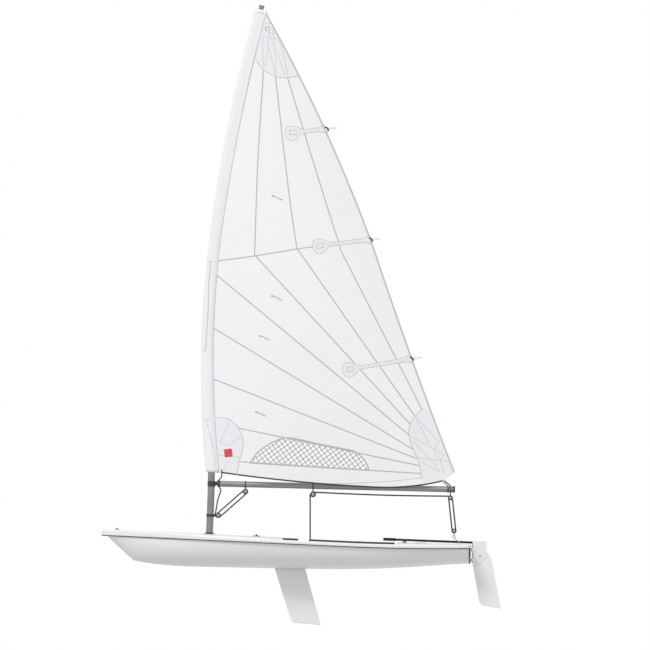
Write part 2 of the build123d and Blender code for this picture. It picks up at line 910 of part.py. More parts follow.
def make_pintles():
    """Two pins on arms from the head's spine."""
    spine_x = rudder_axis_x + spine_gap
    pins = []
    for height in pintle_heights:
        top = height + gudgeon_height / 2 + seat_gap
        pin = Pos(rudder_axis_x, 0, top - gudgeon_height / 2) * Cylinder(pintle_radius, gudgeon_height * 2)
        arm = box_between(
            (rudder_axis_x - pintle_radius, -gudgeon_radius, top),
            (spine_x, gudgeon_radius, top + gudgeon_plate * 2))
        pins.append(pin + arm)
    return Compound(children=pins)


def make_blade():
    """The lifting blade: a round head at the pivot and a raked foil."""
    shoulder = head_bottom_height - blade_shoulder_gap
    outline = Polyline(
        (rudder_axis_x + spine_gap, 0, shoulder),
        (rudder_axis_x + blade_front_share * blade_length, 0, blade_front_tip_share * blade_length),
        (rudder_axis_x + blade_back_share * blade_length, 0, blade_back_tip_share * blade_length),
        (rudder_axis_x + blade_hip_share * blade_length, 0, pivot_height / 2),
        (head_back_x, 0, pivot_height + blade_head_radius * 3 / 4),
        (pivot.X, 0, pivot_height + blade_head_radius),
        (pivot.X - blade_head_radius * 2 / 3, 0, pivot_height + blade_head_radius * 2 / 3),
        (pivot.X - blade_head_radius, 0, pivot_height),
        (pivot.X - blade_head_radius, 0, shoulder), close=True)
    face = make_face(outline)
    tip = face.vertices().sort_by(Axis.Z)[:2].sort_by(Axis.X)[0]
    face = fillet(tip, board_tip_round)
    blade = extrude(face, amount=blade_thickness / 2, dir=(0, 1, 0), both=True)
    edges = [edge for edge in blade.edges() if abs(edge.center().Y) > blade_thickness / 3
             and edge.center().Z < shoulder - blade_thickness]
    blade = fillet(edges, blade_thickness / 3)
    return blade - cross_disc(pivot.X, pivot.Z, pivot_radius + bearing_gap, half_beam)


def make_pivot_bolt():
    """The bolt that the blade swings on, with a head on each cheek."""
    width = 2 * (head_half_gap + cheek_thickness)
    bolt = cross_disc(pivot.X, pivot.Z, pivot_radius, width)
    for side in (-1, 1):
        head = Pos(0, side * (width + cheek_thickness) / 2, 0) * cross_disc(
            pivot.X, pivot.Z, pivot_radius * 2, cheek_thickness)
        bolt += head
    return bolt


tiller_front = xz(at_share(tiller_front_share), tiller_front_height)
tiller_back = xz(rudder_axis_x, tiller_back_height)
tiller_direction = (tiller_back - tiller_front).normalized()


def tiller_bar():
    """The flat tail of the tiller, held between the rudder's cheeks."""
    spine_x = rudder_axis_x + spine_gap
    front = tiller_front + tiller_direction * ((spine_x - tiller_radius - tiller_front.X) / tiller_direction.X)
    back = front + tiller_direction * tiller_socket
    rise = Vector(0, 0, tiller_radius - gudgeon_plate / 2)
    outline = Polyline(front - rise, back - rise, back + rise, front + rise, close=True).edges()
    return side_prism(outline, head_half_gap - seat_gap)


def make_tiller():
    spine_x = rudder_axis_x + spine_gap
    end = tiller_front + tiller_direction * ((spine_x - gudgeon_plate - tiller_front.X) / tiller_direction.X)
    start = tiller_front + tiller_direction * grip_length
    return rod(start, end, tiller_radius) + tiller_bar()


def make_tiller_grip():
    start = tiller_front + tiller_direction * grip_length
    grip = rod(tiller_front, start, grip_radius)
    return fillet(grip.edges().filter_by(GeomType.CIRCLE), gudgeon_plate)


# Deck gear


def deck_top(x, crown):
    return sheer_height(x) + gunwale_height + crown


def make_bow_eye(deck):
    """A low eye on the foredeck for a bow line."""
    x = at_share(bow_eye_share)
    level = deck_top(x, foredeck_crown)
    base = box_between(
        (x - bow_eye_length / 2, -bow_eye_height, level - bow_eye_height / 2),
        (x + bow_eye_length / 2, bow_eye_height, level + bow_eye_height / 4))
    post = cross_disc(x, level + bow_eye_height / 4, bow_eye_height, bow_eye_height)
    hole = cross_disc(x, level + bow_eye_height / 2, bow_eye_hole, half_beam)
    return (base + post) - hole - deck


def cam_cleat(x, y, level, half_length):
    """A cleat's base with its two cams."""
    cleat = box_between(
        (x - half_length, y - cam_radius * 2, level - cleat_base_height),
        (x + half_length, y + cam_radius * 2, level + cleat_base_height))
    for step in (-1, 1):
        cleat += Pos(x, y + step * cam_radius, level) * Cylinder(
            cam_radius - gudgeon_plate / 2, cam_height + cleat_base_height,
            align=(Align.CENTER, Align.CENTER, Align.MIN))
    return cleat


def make_control_cleats(deck):
    """The cleats behind the mast for the control lines, one each side of the board's slot."""
    x = at_share(cleat_base_share)
    level = deck_top(x, foredeck_crown)
    side = recess_half_width + cam_radius * 3
    return Compound(children=[
        cam_cleat(x, y, level, cleat_base_length / 2) - deck for y in (-side, side)])


def make_sheet_cleats(deck):
    """The cam cleats for the mainsheet, one on each side deck."""
    x = at_share(sheet_cleat_share)
    return Compound(children=[
        cam_cleat(x, y, deck_top(x, 0), cam_radius * 2) - deck
        for y in (-sheet_cleat_side, sheet_cleat_side)])


def fairlead_eye(side):
    x = at_share(fairlead_share)
    return Vector(x, side * fairlead_side, deck_top(x, fairlead_lift))


def make_fairlead(side, deck):
    """An eye on the stern quarter for the traveller rope."""
    eye = fairlead_eye(side)
    level = deck_top(eye.X, 0)
    base = Pos(eye.X, eye.Y, level - gunwale_round) * Cylinder(
        fairlead_radius, gunwale_round + gudgeon_plate, align=(Align.CENTER, Align.CENTER, Align.MIN))
    post = Pos(eye.X, eye.Y, level) * Cylinder(
        fairlead_radius / 2, eye.Z - level, align=(Align.CENTER, Align.CENTER, Align.MIN))
    head = Pos(eye) * Sphere(fairlead_radius * 2 / 3)
    return (base + post + head) - deck


def make_traveller(fairleads):
    """The rope across the stern, its ring and the sheet's lower block."""
    x = at_share(traveller_share)
    ring_z = traveller_height + traveller_ring_radius - traveller_rope_radius * 2
    ring = Pos(x, 0, ring_z) * Rot(90, 0, 0) * Torus(traveller_ring_radius - traveller_rope_radius,
                                                     traveller_rope_radius)
    link_low = xz(x, ring_z + traveller_ring_radius - traveller_rope_radius)
    link = rod(link_low, xz(x, lower_block_height - end_block_radius / 2), traveller_rope_radius)
    gear = ring + link + block_body(x, lower_block_height, end_block_radius)
    half = traveller_rope_radius * 2
    gear += rod(xz(x, traveller_height, -half), xz(x, traveller_height, half), traveller_rope_radius)
    for side in (-1, 1):
        apex = xz(x, traveller_height, side * half)
        gear += rod(fairlead_eye(side), apex, traveller_rope_radius)
        gear += Pos(apex) * Sphere(traveller_rope_radius)
    for fairlead in fairleads:
        gear -= fairlead
    return gear


def make_traveller_cleat(deck):
    """The cleat on the aft deck that holds the traveller's end."""
    x = at_share(aft_deck_start_share) + cleat_base_length
    y = sheet_cleat_side / 2
    level = deck_top(x, 0)
    cleat = box_between(
        (x - cam_radius * 2, y - cam_radius, level - cleat_base_height),
        (x + cam_radius * 2, y + cam_radius, level + aft_deck_crown + cam_height))
    return cleat - deck


def make_rails():
    """The grab rails along the side decks."""
    rails = []
    for y in (-rail_side, rail_side):
        strip = box_between(
            (at_share(rail_front_share), y - rail_half_width, 0),
            (at_share(rail_back_share), y + rail_half_width, 2 * freeboard))
        strip = strip & below_sheer(gunwale_height + rail_height, hull_length / 2)
        rails.append(strip - below_sheer(gunwale_height, hull_length))
    return Compound(children=rails)


def make_cockpit_block():
    """The sheet's ratchet block on the well's floor."""
    x = at_share(cockpit_block_share)
    low = (Align.CENTER, Align.CENTER, Align.MIN)
    centre = well_floor_height + cockpit_block_lift
    base = Pos(x, 0, well_floor_height) * Cylinder(fairlead_radius * 3 / 2, gudgeon_plate * 2, align=low)
    post = Pos(x, 0, well_floor_height) * Cylinder(
        fairlead_radius / 2, cockpit_block_lift - end_block_radius * 2 / 3, align=low)
    return base + post + block_body(x, centre, end_block_radius)


def make_strap():
    """The hiking strap along the well."""
    start = at_share(strap_front_share)
    end = at_share(strap_back_share)
    return box_between(
        (start, -strap_width / 2, strap_height),
        (end, strap_width / 2, strap_height + strap_thickness))


def make_strap_posts():
    """The brackets at the ends of the hiking strap."""
    posts = []
    for share in (strap_front_share, strap_back_share):
        x = at_share(share)
        inward = 1 if share == strap_front_share else -1
        posts.append(box_between(
            (min(x, x + inward * strap_plate * 3), -strap_width / 2, well_floor_height),
            (max(x, x + inward * strap_plate * 3), strap_width / 2, strap_height - seat_gap)))
    return Compound(children=posts)


def make_bailer():
    """The self-bailer's frame on the well's floor."""
    x = at_share(bailer_share)
    y = -well_back_half_width / 2
    frame = box_between(
        (x - bailer_length / 2, y - bailer_width / 2, well_floor_height),
        (x + bailer_length / 2, y + bailer_width / 2, well_floor_height + bailer_height))
    return fillet(frame.edges().filter_by(Axis.Z), bailer_height)


def make_port(deck):
    """A round inspection cover on the aft deck."""
    x = at_share(port_share)
    y = well_back_half_width
    cover = Pos(x, y, deck_top(x, 0) - port_height) * Cylinder(
        port_radius, 2 * port_height + aft_deck_crown, align=(Align.CENTER, Align.CENTER, Align.MIN))
    return cover - deck


def make_drain_plug():
    """The drain's flange and plug on the transom."""
    place = Location((transom_x, drain_side, drain_height), (0, 90, 0))
    low = (Align.CENTER, Align.CENTER, Align.MIN)
    flange = place * Cylinder(drain_flange_radius, drain_flange, align=low)
    plug = place * Cylinder(drain_radius, 2 * drain_flange, align=low)
    return flange + plug


def make_outhaul_strap():
    """The clew's strap, from a band round the boom up to the corner of the sail."""
    low = boom_at(outhaul_low_share)
    clew = edge_points(FOOT_SHARES, foot_length)[0]
    band = cross_rod_ring(low)
    start = low + Vector(0, 0, boom_radius + strap_radius / 2)
    strap = rod(start, clew - Vector(0, 0, strap_radius), strap_radius)
    return (band + strap) - make_boom()


def save(name, shape):
    export_step(shape, "parts/" + name + ".step")


def main():
    os.makedirs("parts", exist_ok=True)
    deck = make_deck()
    fairleads = [make_fairlead(side, deck) for side in (-1, 1)]
    lower_mast, upper_mast = make_masts()
    save("hull_shell", make_hull())
    save("deck", deck)
    save("cockpit_tub", make_tub())
    save("mast_step_tube", make_mast_step())
    save("mast_deck_collar", make_mast_collar() - deck)
    save("lower_mast", lower_mast)
    save("upper_mast", upper_mast)
    save("mast_joint_ring", make_mast_joint())
    save("mast_head_cap", make_mast_cap())
    save("boom", make_boom())
    save("boom_front_fitting", make_boom_front_cap())
    save("boom_end_cap", make_boom_end_cap())
    save("gooseneck", make_gooseneck())
    save("boom_middle_block", hung_block(mid_block_share, mid_block_drop, mid_block_radius))
    save("boom_end_block", hung_block(end_block_share, end_block_drop, end_block_radius))
    save("vang_boom_block", hung_block(vang_high_share, vang_high_drop, vang_block_radius))
    save("vang_mast_block", make_vang_low_block())
    save("outhaul_strap", make_outhaul_strap())
    save("sail", make_sail())
    for name, row in BATTEN_SHARES.items():
        save(name, make_batten(row))
    save("daggerboard", make_daggerboard())
    save("daggerboard_stop", make_board_stop())
    for name, height in zip(("upper_gudgeon", "lower_gudgeon"), pintle_heights):
        save(name, make_gudgeon(height))
    save("rudder_head", make_rudder_head() - tiller_bar())
    save("rudder_pintles", make_pintles())
    save("rudder_blade", make_blade())
    save("blade_pivot_bolt", make_pivot_bolt())
    save("tiller", make_tiller())
    save("tiller_grip", make_tiller_grip())
    save("bow_eye", make_bow_eye(deck))
    save("control_cleats", make_control_cleats(deck))
    save("sheet_cleats", make_sheet_cleats(deck))
    save("grab_rails", make_rails())
    save("fairleads", Compound(children=fairleads))
    save("traveller", make_traveller(fairleads))
    save("traveller_cleat", make_traveller_cleat(deck))
    save("cockpit_block", make_cockpit_block())
    save("hiking_strap", make_strap())
    save("strap_posts", make_strap_posts())
    save("bailer", make_bailer())
    save("inspection_port", make_port(deck))
    save("drain_plug", make_drain_plug())


main()
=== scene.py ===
import bpy
import bmesh
import math
from mathutils import Matrix, Vector, geometry


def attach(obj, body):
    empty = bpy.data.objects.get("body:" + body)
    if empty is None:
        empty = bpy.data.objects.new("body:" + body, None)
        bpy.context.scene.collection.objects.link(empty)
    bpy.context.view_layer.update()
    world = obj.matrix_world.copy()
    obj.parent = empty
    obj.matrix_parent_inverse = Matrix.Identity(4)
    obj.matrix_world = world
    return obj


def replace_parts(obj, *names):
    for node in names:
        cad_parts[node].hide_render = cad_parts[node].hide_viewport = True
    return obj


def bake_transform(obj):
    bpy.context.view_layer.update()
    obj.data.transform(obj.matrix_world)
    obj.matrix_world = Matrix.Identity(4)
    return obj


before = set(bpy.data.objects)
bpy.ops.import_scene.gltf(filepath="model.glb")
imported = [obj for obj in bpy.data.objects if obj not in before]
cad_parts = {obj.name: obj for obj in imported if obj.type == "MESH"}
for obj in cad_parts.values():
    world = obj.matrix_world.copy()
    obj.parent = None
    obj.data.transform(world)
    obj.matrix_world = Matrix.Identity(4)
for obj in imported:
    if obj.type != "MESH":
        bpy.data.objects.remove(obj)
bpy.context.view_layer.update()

# Metres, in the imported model's frame: +X aft, +Y starboard, +Z up, the water at zero.
MM = 0.001


# Camera, floor and light

FRAME_WIDTH = 7.41
FRAME_MIDDLE_X, FRAME_MIDDLE_Z = 0.4446, 2.6733
CAMERA_AWAY = 14
SIGHT = 500
FLOOR_HALF = 120
# Strength of the soft light from below, from above, and as the camera sees it, which is white.
SKY_BELOW, SKY_ABOVE, SKY_SEEN = 0.60, 0.80, 1.0
SUN_STRENGTH = 1.15
SUN_WIDTH, SUN_TILT, SUN_TURN = math.radians(18), math.radians(48), math.radians(-24)
# The share of its own colour that the floor shows to the camera
FLOOR_SHARE = 0.55


def place_camera():
    """A true side view of the port side, as wide as the drawing's frame."""
    lens = bpy.data.cameras.new("side_view")
    lens.type = "ORTHO"
    lens.ortho_scale = FRAME_WIDTH
    lens.clip_end = SIGHT
    camera = bpy.data.objects.new("side_view", lens)
    camera.location = (FRAME_MIDDLE_X, -CAMERA_AWAY, FRAME_MIDDLE_Z)
    camera.rotation_euler = (math.radians(90), 0, 0)
    bpy.context.scene.collection.objects.link(camera)
    bpy.context.scene.camera = camera


def linear(code):
    """An sRGB hex colour as linear red, green, blue and alpha."""
    parts = [int(code[i:i + 2], 16) / 255 for i in (1, 3, 5)]
    return tuple(p / 12.92 if p <= 0.04045 else ((p + 0.055) / 1.055) ** 2.4 for p in parts) + (1,)


def add(tree, kind, inputs=None, **settings):
    """Adds one shader node. An input is a value, a hex colour, or another node's output to link."""
    made = tree.nodes.new("ShaderNode" + kind)
    for key, value in settings.items():
        setattr(made, key, value)
    for key, value in (inputs or {}).items():
        if isinstance(value, bpy.types.NodeSocket):
            tree.links.new(value, made.inputs[key])
        else:
            made.inputs[key].default_value = linear(value) if isinstance(value, str) else value
    return made


def light_scene():
    """White behind the boat, soft light all round it and a wide sun from ahead and to port."""
    scene = bpy.context.scene
    scene.view_settings.view_transform = "Standard"
    world = bpy.data.worlds.new("studio")
    world.use_nodes = True
    scene.world = world
    tree = world.node_tree
    sky = tree.nodes["Background"]
    ray = add(tree, "LightPath")
    seen = add(tree, "Math", {0: ray.outputs["Is Camera Ray"], 1: ray.outputs["Is Transmission Ray"]},
               operation="MAXIMUM")
    height = add(tree, "SeparateXYZ", {"Vector": add(tree, "TexCoord").outputs["Generated"]})
    soft = add(tree, "MapRange", {"Value": height.outputs["Z"], "From Min": -0.5, "From Max": 0.1,
                                  "To Min": SKY_BELOW, "To Max": SKY_ABOVE})
    level = add(tree, "MapRange", {"Value": seen.outputs[0], "To Min": soft.outputs[0],
                                   "To Max": SKY_SEEN})
    sky.inputs["Color"].default_value = (1, 1, 1, 1)
    tree.links.new(level.outputs[0], sky.inputs["Strength"])
    sun = bpy.data.lights.new("key", "SUN")
    sun.energy = SUN_STRENGTH
    sun.angle = SUN_WIDTH
    lamp = bpy.data.objects.new("key", sun)
    lamp.rotation_euler = (SUN_TILT, 0, SUN_TURN)
    scene.collection.objects.link(lamp)


def lay_floor():
    """A pale floor at the water's level. The light goes through it, so that the foils are lit too."""
    mesh = bpy.data.meshes.new("floor")
    r = FLOOR_HALF
    mesh.from_pydata([(-r, -r, 0), (r, -r, 0), (r, r, 0), (-r, r, 0)], [], [(0, 1, 2, 3)])
    floor = bpy.data.objects.new("floor", mesh)
    bpy.context.scene.collection.objects.link(floor)
    finish = bpy.data.materials.new("pale_floor")
    finish.use_nodes = True
    tree = finish.node_tree
    tree.nodes.clear()
    ray = add(tree, "LightPath")
    matt = add(tree, "BsdfDiffuse", {"Color": "#FAFAFA"})
    clear = add(tree, "BsdfTransparent")
    keep = add(tree, "Math", {0: ray.outputs["Is Camera Ray"], 1: FLOOR_SHARE}, operation="MULTIPLY")
    mixed = add(tree, "MixShader", {0: keep.outputs[0], 1: clear.outputs[0], 2: matt.outputs[0]})
    add(tree, "OutputMaterial", {"Surface": mixed.outputs[0]})
    mesh.materials.append(finish)


# Finishes

# The bands of a wave texture at scale 1, in metres
BAND = 0.31


def finish(name, colour, **values):
    """A material for one real finish, with its shader's own constants set."""
    made = bpy.data.materials.new(name)
    made.use_nodes = True
    shader = made.node_tree.nodes["Principled BSDF"]
    shader.inputs["Base Color"].default_value = linear(colour)
    for key, value in values.items():
        shader.inputs[key.replace("_", " ")].default_value = value
    return made, made.node_tree, shader


def place_of(tree):
    """A point's place on the boat, in metres."""
    return add(tree, "TexCoord").outputs["Object"]


def shade(tree, shader, share, low, high):
    """Colour that goes from one shade to another with a pattern."""
    mix = add(tree, "Mix", {0: share, 6: low, 7: high}, data_type="RGBA")
    tree.links.new(mix.outputs[2], shader.inputs["Base Color"])


def gloss(tree, shader, share, low, high):
    """Roughness that goes from low to high with a pattern."""
    spread = add(tree, "MapRange", {"Value": share, "To Min": low, "To Max": high})
    tree.links.new(spread.outputs[0], shader.inputs["Roughness"])


def relief(tree, shader, height, depth, strength):
    """Bump from a height pattern, depth in metres."""
    bump = add(tree, "Bump", {"Height": height, "Distance": depth, "Strength": strength})
    tree.links.new(bump.outputs[0], shader.inputs["Normal"])


def mottle(tree, shader, low, high, size):
    """Uneven colour between two near shades, in clouds of a size."""
    cloud = add(tree, "TexNoise", {"Vector": place_of(tree), "Scale": 1 / size, "Detail": 3.0})
    shade(tree, shader, cloud.outputs["Fac"], low, high)
    return cloud.outputs["Fac"]


def uneven_gloss(tree, shader, low, high, size):
    """Roughness that wanders a little, as a handled surface's does."""
    cloud = add(tree, "TexNoise", {"Vector": place_of(tree), "Scale": 1 / size, "Detail": 4.0})
    gloss(tree, shader, cloud.outputs["Fac"], low, high)


def polished_gelcoat():
    """Polyester gelcoat from a polished mould: glassy, with a faint ripple and duller, handled parts."""
    made, tree, shader = finish("polished_grey_gelcoat", "#EBECEE", IOR=1.5, Coat_Weight=0.25)
    mottle(tree, shader, "#E8E9EC", "#EDEEF0", 714 * MM)
    uneven_gloss(tree, shader, 0.16, 0.30, 111 * MM)
    ripple = add(tree, "TexNoise", {"Vector": place_of(tree), "Scale": 1 / (62.5 * MM), "Detail": 2.0})
    relief(tree, shader, ripple.outputs["Fac"], 0.35 * MM, 0.35)
    return made


def nonslip_gelcoat():
    """White gelcoat with a moulded non-slip grip on the flats and a smooth band along each edge."""
    made, tree, shader = finish("nonslip_white_gelcoat", "#ECECEB", IOR=1.5)
    where = place_of(tree)
    parts = add(tree, "SeparateXYZ", {"Vector": where})
    way = add(tree, "NewGeometry")
    facing = add(tree, "SeparateXYZ", {"Vector": way.outputs["Normal"]})
    flat = add(tree, "MapRange", {"Value": facing.outputs["Z"], "From Min": 0.90, "From Max": 0.97})
    side = add(tree, "Math", {0: parts.outputs["Y"]}, operation="ABSOLUTE")
    # The grip's half width rises from the bow and falls to the stern, beside a smooth band.
    fore = add(tree, "MapRange", {"Value": parts.outputs["X"], "From Min": -2.05, "From Max": -0.1,
                                  "To Min": -0.02, "To Max": 0.60}, clamp=False)
    aft = add(tree, "MapRange", {"Value": parts.outputs["X"], "From Min": 0.4, "From Max": 2.09,
                                 "To Min": 0.635, "To Max": 0.48}, clamp=False)
    limit = add(tree, "Math", {0: fore.outputs[0], 1: aft.outputs[0]}, operation="MINIMUM")
    room = add(tree, "Math", {0: limit.outputs[0], 1: side.outputs[0]}, operation="SUBTRACT")
    inside = add(tree, "MapRange", {"Value": room.outputs[0], "From Min": 0.0, "From Max": 0.006})
    stern = add(tree, "MapRange", {"Value": parts.outputs["X"], "From Min": 2.03, "From Max": 2.024})
    zone = add(tree, "Math", {0: inside.outputs[0], 1: stern.outputs[0]}, operation="MULTIPLY")
    zone = add(tree, "Math", {0: zone.outputs[0], 1: flat.outputs[0]}, operation="MULTIPLY")
    # Grip of small domes; real ones are 3 mm apart, drawn at 9 mm so that they show.
    domes = add(tree, "TexVoronoi", {"Vector": where, "Scale": 1 / (9.09 * MM), "Randomness": 0.15})
    dome = add(tree, "MapRange", {"Value": domes.outputs["Distance"], "From Min": 0.1, "From Max": 0.5,
                                  "To Min": 1.0, "To Max": 0.0})
    height = add(tree, "Math", {0: dome.outputs[0], 1: zone.outputs[0]}, operation="MULTIPLY")
    relief(tree, shader, height.outputs[0], 0.6 * MM, 0.8)
    cloud = add(tree, "TexNoise", {"Vector": where, "Scale": 1 / (333 * MM), "Detail": 4.0})
    smooth = add(tree, "Mix", {0: cloud.outputs["Fac"], 6: "#EDEDEC", 7: "#EAEAE9"}, data_type="RGBA")
    shade(tree, shader, zone.outputs[0], smooth.outputs[2], "#DDDEDF")
    gloss(tree, shader, zone.outputs[0], 0.22, 0.55)
    return made


def faired_gelcoat():
    """White gelcoat foils, wet-sanded: smooth, and a little duller than the hull."""
    made, tree, shader = finish("sanded_white_gelcoat", "#EAEAEA", IOR=1.5)
    cloud = mottle(tree, shader, "#E6E7E8", "#EDEDED", 200 * MM)
    uneven_gloss(tree, shader, 0.24, 0.40, 71.4 * MM)
    relief(tree, shader, cloud, 0.2 * MM, 0.3)
    return made


def woven_cloth(name, light, dark):
    """Resin-filled woven polyester: flat and crisp, with a plain weave. The real threads are
    0.3 mm apart, drawn at 2.2 mm so that they show close up."""
    made, tree, shader = finish(name, light, Roughness=0.62, IOR=1.46)
    where = place_of(tree)
    mottle(tree, shader, light, dark, 400 * MM)
    turn = add(tree, "Mapping", {"Vector": where, "Rotation": (0, math.radians(12), 0)})
    warp, weft = (add(tree, "TexWave", {"Vector": turn.outputs[0], "Scale": BAND / (2.2 * MM)},
                      bands_direction=way).outputs["Fac"] for way in "XZ")
    weave = add(tree, "Math", {0: warp, 1: weft}, operation="MULTIPLY")
    # Handling creases, very shallow.
    crease = add(tree, "TexNoise", {"Vector": where, "Scale": 1 / (167 * MM), "Detail": 2.0,
                                    "Roughness": 0.4})
    height = add(tree, "Math", {0: crease.outputs["Fac"], 1: 8.0, 2: weave.outputs[0]},
                 operation="MULTIPLY_ADD")
    relief(tree, shader, height.outputs[0], 0.12 * MM, 0.35)
    return made


def stitched_tape(name, light, dark):
    """Double cloth at a seam, greyer than the panel, with two rows of zigzag stitching.
    Its map runs along the seam in metres and from -1 to 1 across it."""
    made, tree, shader = finish(name, light, Roughness=0.6)
    seam = add(tree, "SeparateXYZ", {"Vector": add(tree, "UVMap").outputs[0]})
    # Stitches are 5 mm long, drawn at 12 mm so that they show.
    wave = add(tree, "Math", {0: seam.outputs["X"], 1: math.tau / (12 * MM)}, operation="MULTIPLY")
    swing = add(tree, "Math", {0: wave.outputs[0]}, operation="SINE")
    row = add(tree, "Math", {0: seam.outputs["Y"]}, operation="ABSOLUTE")
    row = add(tree, "Math", {0: row.outputs[0], 1: 0.55}, operation="SUBTRACT")
    off = add(tree, "Math", {0: swing.outputs[0], 1: -0.22, 2: row.outputs[0]}, operation="MULTIPLY_ADD")
    off = add(tree, "Math", {0: off.outputs[0]}, operation="ABSOLUTE")
    thread = add(tree, "MapRange", {"Value": off.outputs[0], "From Min": 0.16, "From Max": 0.06})
    shade(tree, shader, thread.outputs[0], light, dark)
    relief(tree, shader, thread.outputs[0], 0.5 * MM, 0.6)
    return made


def window_film():
    """Clear flexible film: glossy, faintly grey, seen through."""
    made, tree, shader = finish("clear_window_film", "#F4F7F8", Roughness=0.08, IOR=1.46, Alpha=0.22)
    ripple = add(tree, "TexNoise", {"Vector": place_of(tree), "Scale": 1 / (83.3 * MM), "Detail": 1.0})
    relief(tree, shader, ripple.outputs["Fac"], 0.6 * MM, 0.3)
    return made


def plain_finish(name, light, dark, size, rough, depth, **values):
    """A plain finish in two near shades, with a grain an eighth of its clouds' size."""
    made, tree, shader = finish(name, light, Roughness=rough, **values)
    mottle(tree, shader, light, dark, size)
    grain = add(tree, "TexNoise", {"Vector": place_of(tree), "Scale": 8 / size, "Detail": 3.0})
    relief(tree, shader, grain.outputs["Fac"], depth, 0.4)
    return made


def drawn_aluminium():
    """Clear-anodised drawn tube: satin grey, with die lines up the mast and darker scuffs. The real
    lines are under 1 mm apart, drawn at 4 mm so that they show."""
    made, tree, shader = finish("satin_anodised_aluminium", "#98999C", Metallic=0.85)
    where = place_of(tree)
    across, up = 1 / (3.85 * MM), 1 / (333 * MM)
    lines = add(tree, "Mapping", {"Vector": where, "Scale": (across, across, up)})
    die = add(tree, "TexNoise", {"Vector": lines.outputs[0], "Scale": 1.0, "Detail": 2.0}).outputs["Fac"]
    cloud = add(tree, "TexNoise", {"Vector": where, "Scale": 1 / (143 * MM), "Detail": 5.0})
    shade(tree, shader, cloud.outputs["Fac"], "#8C8D91", "#A2A3A6")
    gloss(tree, shader, die, 0.34, 0.50)
    relief(tree, shader, die, 0.05 * MM, 0.3)
    return made


def moulded_nylon():
    """Glass-filled nylon from a fine-sparked mould: near black, satin, with paler rubbed corners. The
    real sparks are 0.1 mm across, drawn at 1.4 mm so that they show close up."""
    made, tree, shader = finish("moulded_black_nylon", "#1C1B1D", Roughness=0.42, IOR=1.53)
    way = add(tree, "NewGeometry")
    worn = add(tree, "MapRange", {"Value": way.outputs["Pointiness"], "From Min": 0.53, "From Max": 0.60})
    shade(tree, shader, worn.outputs[0], "#1B1A1C", "#3A393B")
    spark = add(tree, "TexNoise", {"Vector": place_of(tree), "Scale": 1 / (1.43 * MM), "Detail": 2.0})
    relief(tree, shader, spark.outputs["Fac"], 0.15 * MM, 0.4)
    return made


def brushed_steel():
    """Stainless steel, brushed along the boat and bright. The real lines are 0.1 mm apart, drawn at
    1.1 mm."""
    made, tree, shader = finish("brushed_stainless_steel", "#B9BABB", Metallic=1.0)
    along, across = 1 / (50 * MM), 1 / (1.11 * MM)
    lines = add(tree, "Mapping", {"Vector": place_of(tree), "Scale": (along, across, across)})
    brush = add(tree, "TexNoise", {"Vector": lines.outputs[0], "Scale": 1.0, "Detail": 3.0}).outputs["Fac"]
    gloss(tree, shader, brush, 0.20, 0.42)
    relief(tree, shader, brush, 0.04 * MM, 0.3)
    return made


def woven_webbing():
    """Black polyester webbing: matt, with rows of threads. Rows are 1.5 mm apart, drawn at 4 mm."""
    made, tree, shader = finish("woven_black_webbing", "#222124", Roughness=0.85, Sheen_Weight=0.2)
    rows = add(tree, "TexWave", {"Vector": place_of(tree), "Scale": BAND / (3.88 * MM)},
               bands_direction="DIAGONAL").outputs["Fac"]
    # The grooves between the rows are darker than their ridges: painted shade.
    shade(tree, shader, rows, "#1B1A1D", "#2E2D31")
    relief(tree, shader, rows, 0.5 * MM, 0.6)
    return made


def braided_rope():
    """Black braided polyester rope. Its map runs along the rope in metres and once round it."""
    made, tree, shader = finish("braided_black_rope", "#232225", Roughness=0.8, Sheen_Weight=0.15)
    lay = add(tree, "SeparateXYZ", {"Vector": add(tree, "UVMap").outputs[0]})
    along = add(tree, "Math", {0: lay.outputs["X"], 1: math.tau / (11 * MM)}, operation="MULTIPLY")
    crossing = []
    for sign in (-1, 1):
        turn = add(tree, "Math", {0: lay.outputs["Y"], 1: sign * math.tau * 4, 2: along.outputs[0]},
                   operation="MULTIPLY_ADD")
        crossing.append(add(tree, "Math", {0: turn.outputs[0]}, operation="SINE"))
    strand = add(tree, "Math", {0: crossing[0].outputs[0], 1: crossing[1].outputs[0]}, operation="MAXIMUM")
    height = add(tree, "MapRange", {"Value": strand.outputs[0], "From Min": -0.6, "From Max": 1.0})
    # The strands' crowns are lighter and the grooves between them darker: painted shade.
    shade(tree, shader, height.outputs[0], "#161517", "#35343A")
    relief(tree, shader, height.outputs[0], 0.7 * MM, 0.7)
    return made


def ribbed_rubber():
    """Foam-rubber grip: matt black with rings round it, 7 mm apart."""
    made, tree, shader = finish("ribbed_black_rubber", "#1F1F20", Roughness=0.88)
    rings = add(tree, "TexWave", {"Vector": place_of(tree), "Scale": BAND / (6.89 * MM)},
                bands_direction="X")
    cloud = add(tree, "TexNoise", {"Vector": place_of(tree), "Scale": 1 / (16.7 * MM), "Detail": 3.0})
    shade(tree, shader, cloud.outputs["Fac"], "#19191A", "#29292A")
    relief(tree, shader, rings.outputs["Fac"], 0.8 * MM, 0.7)
    return made


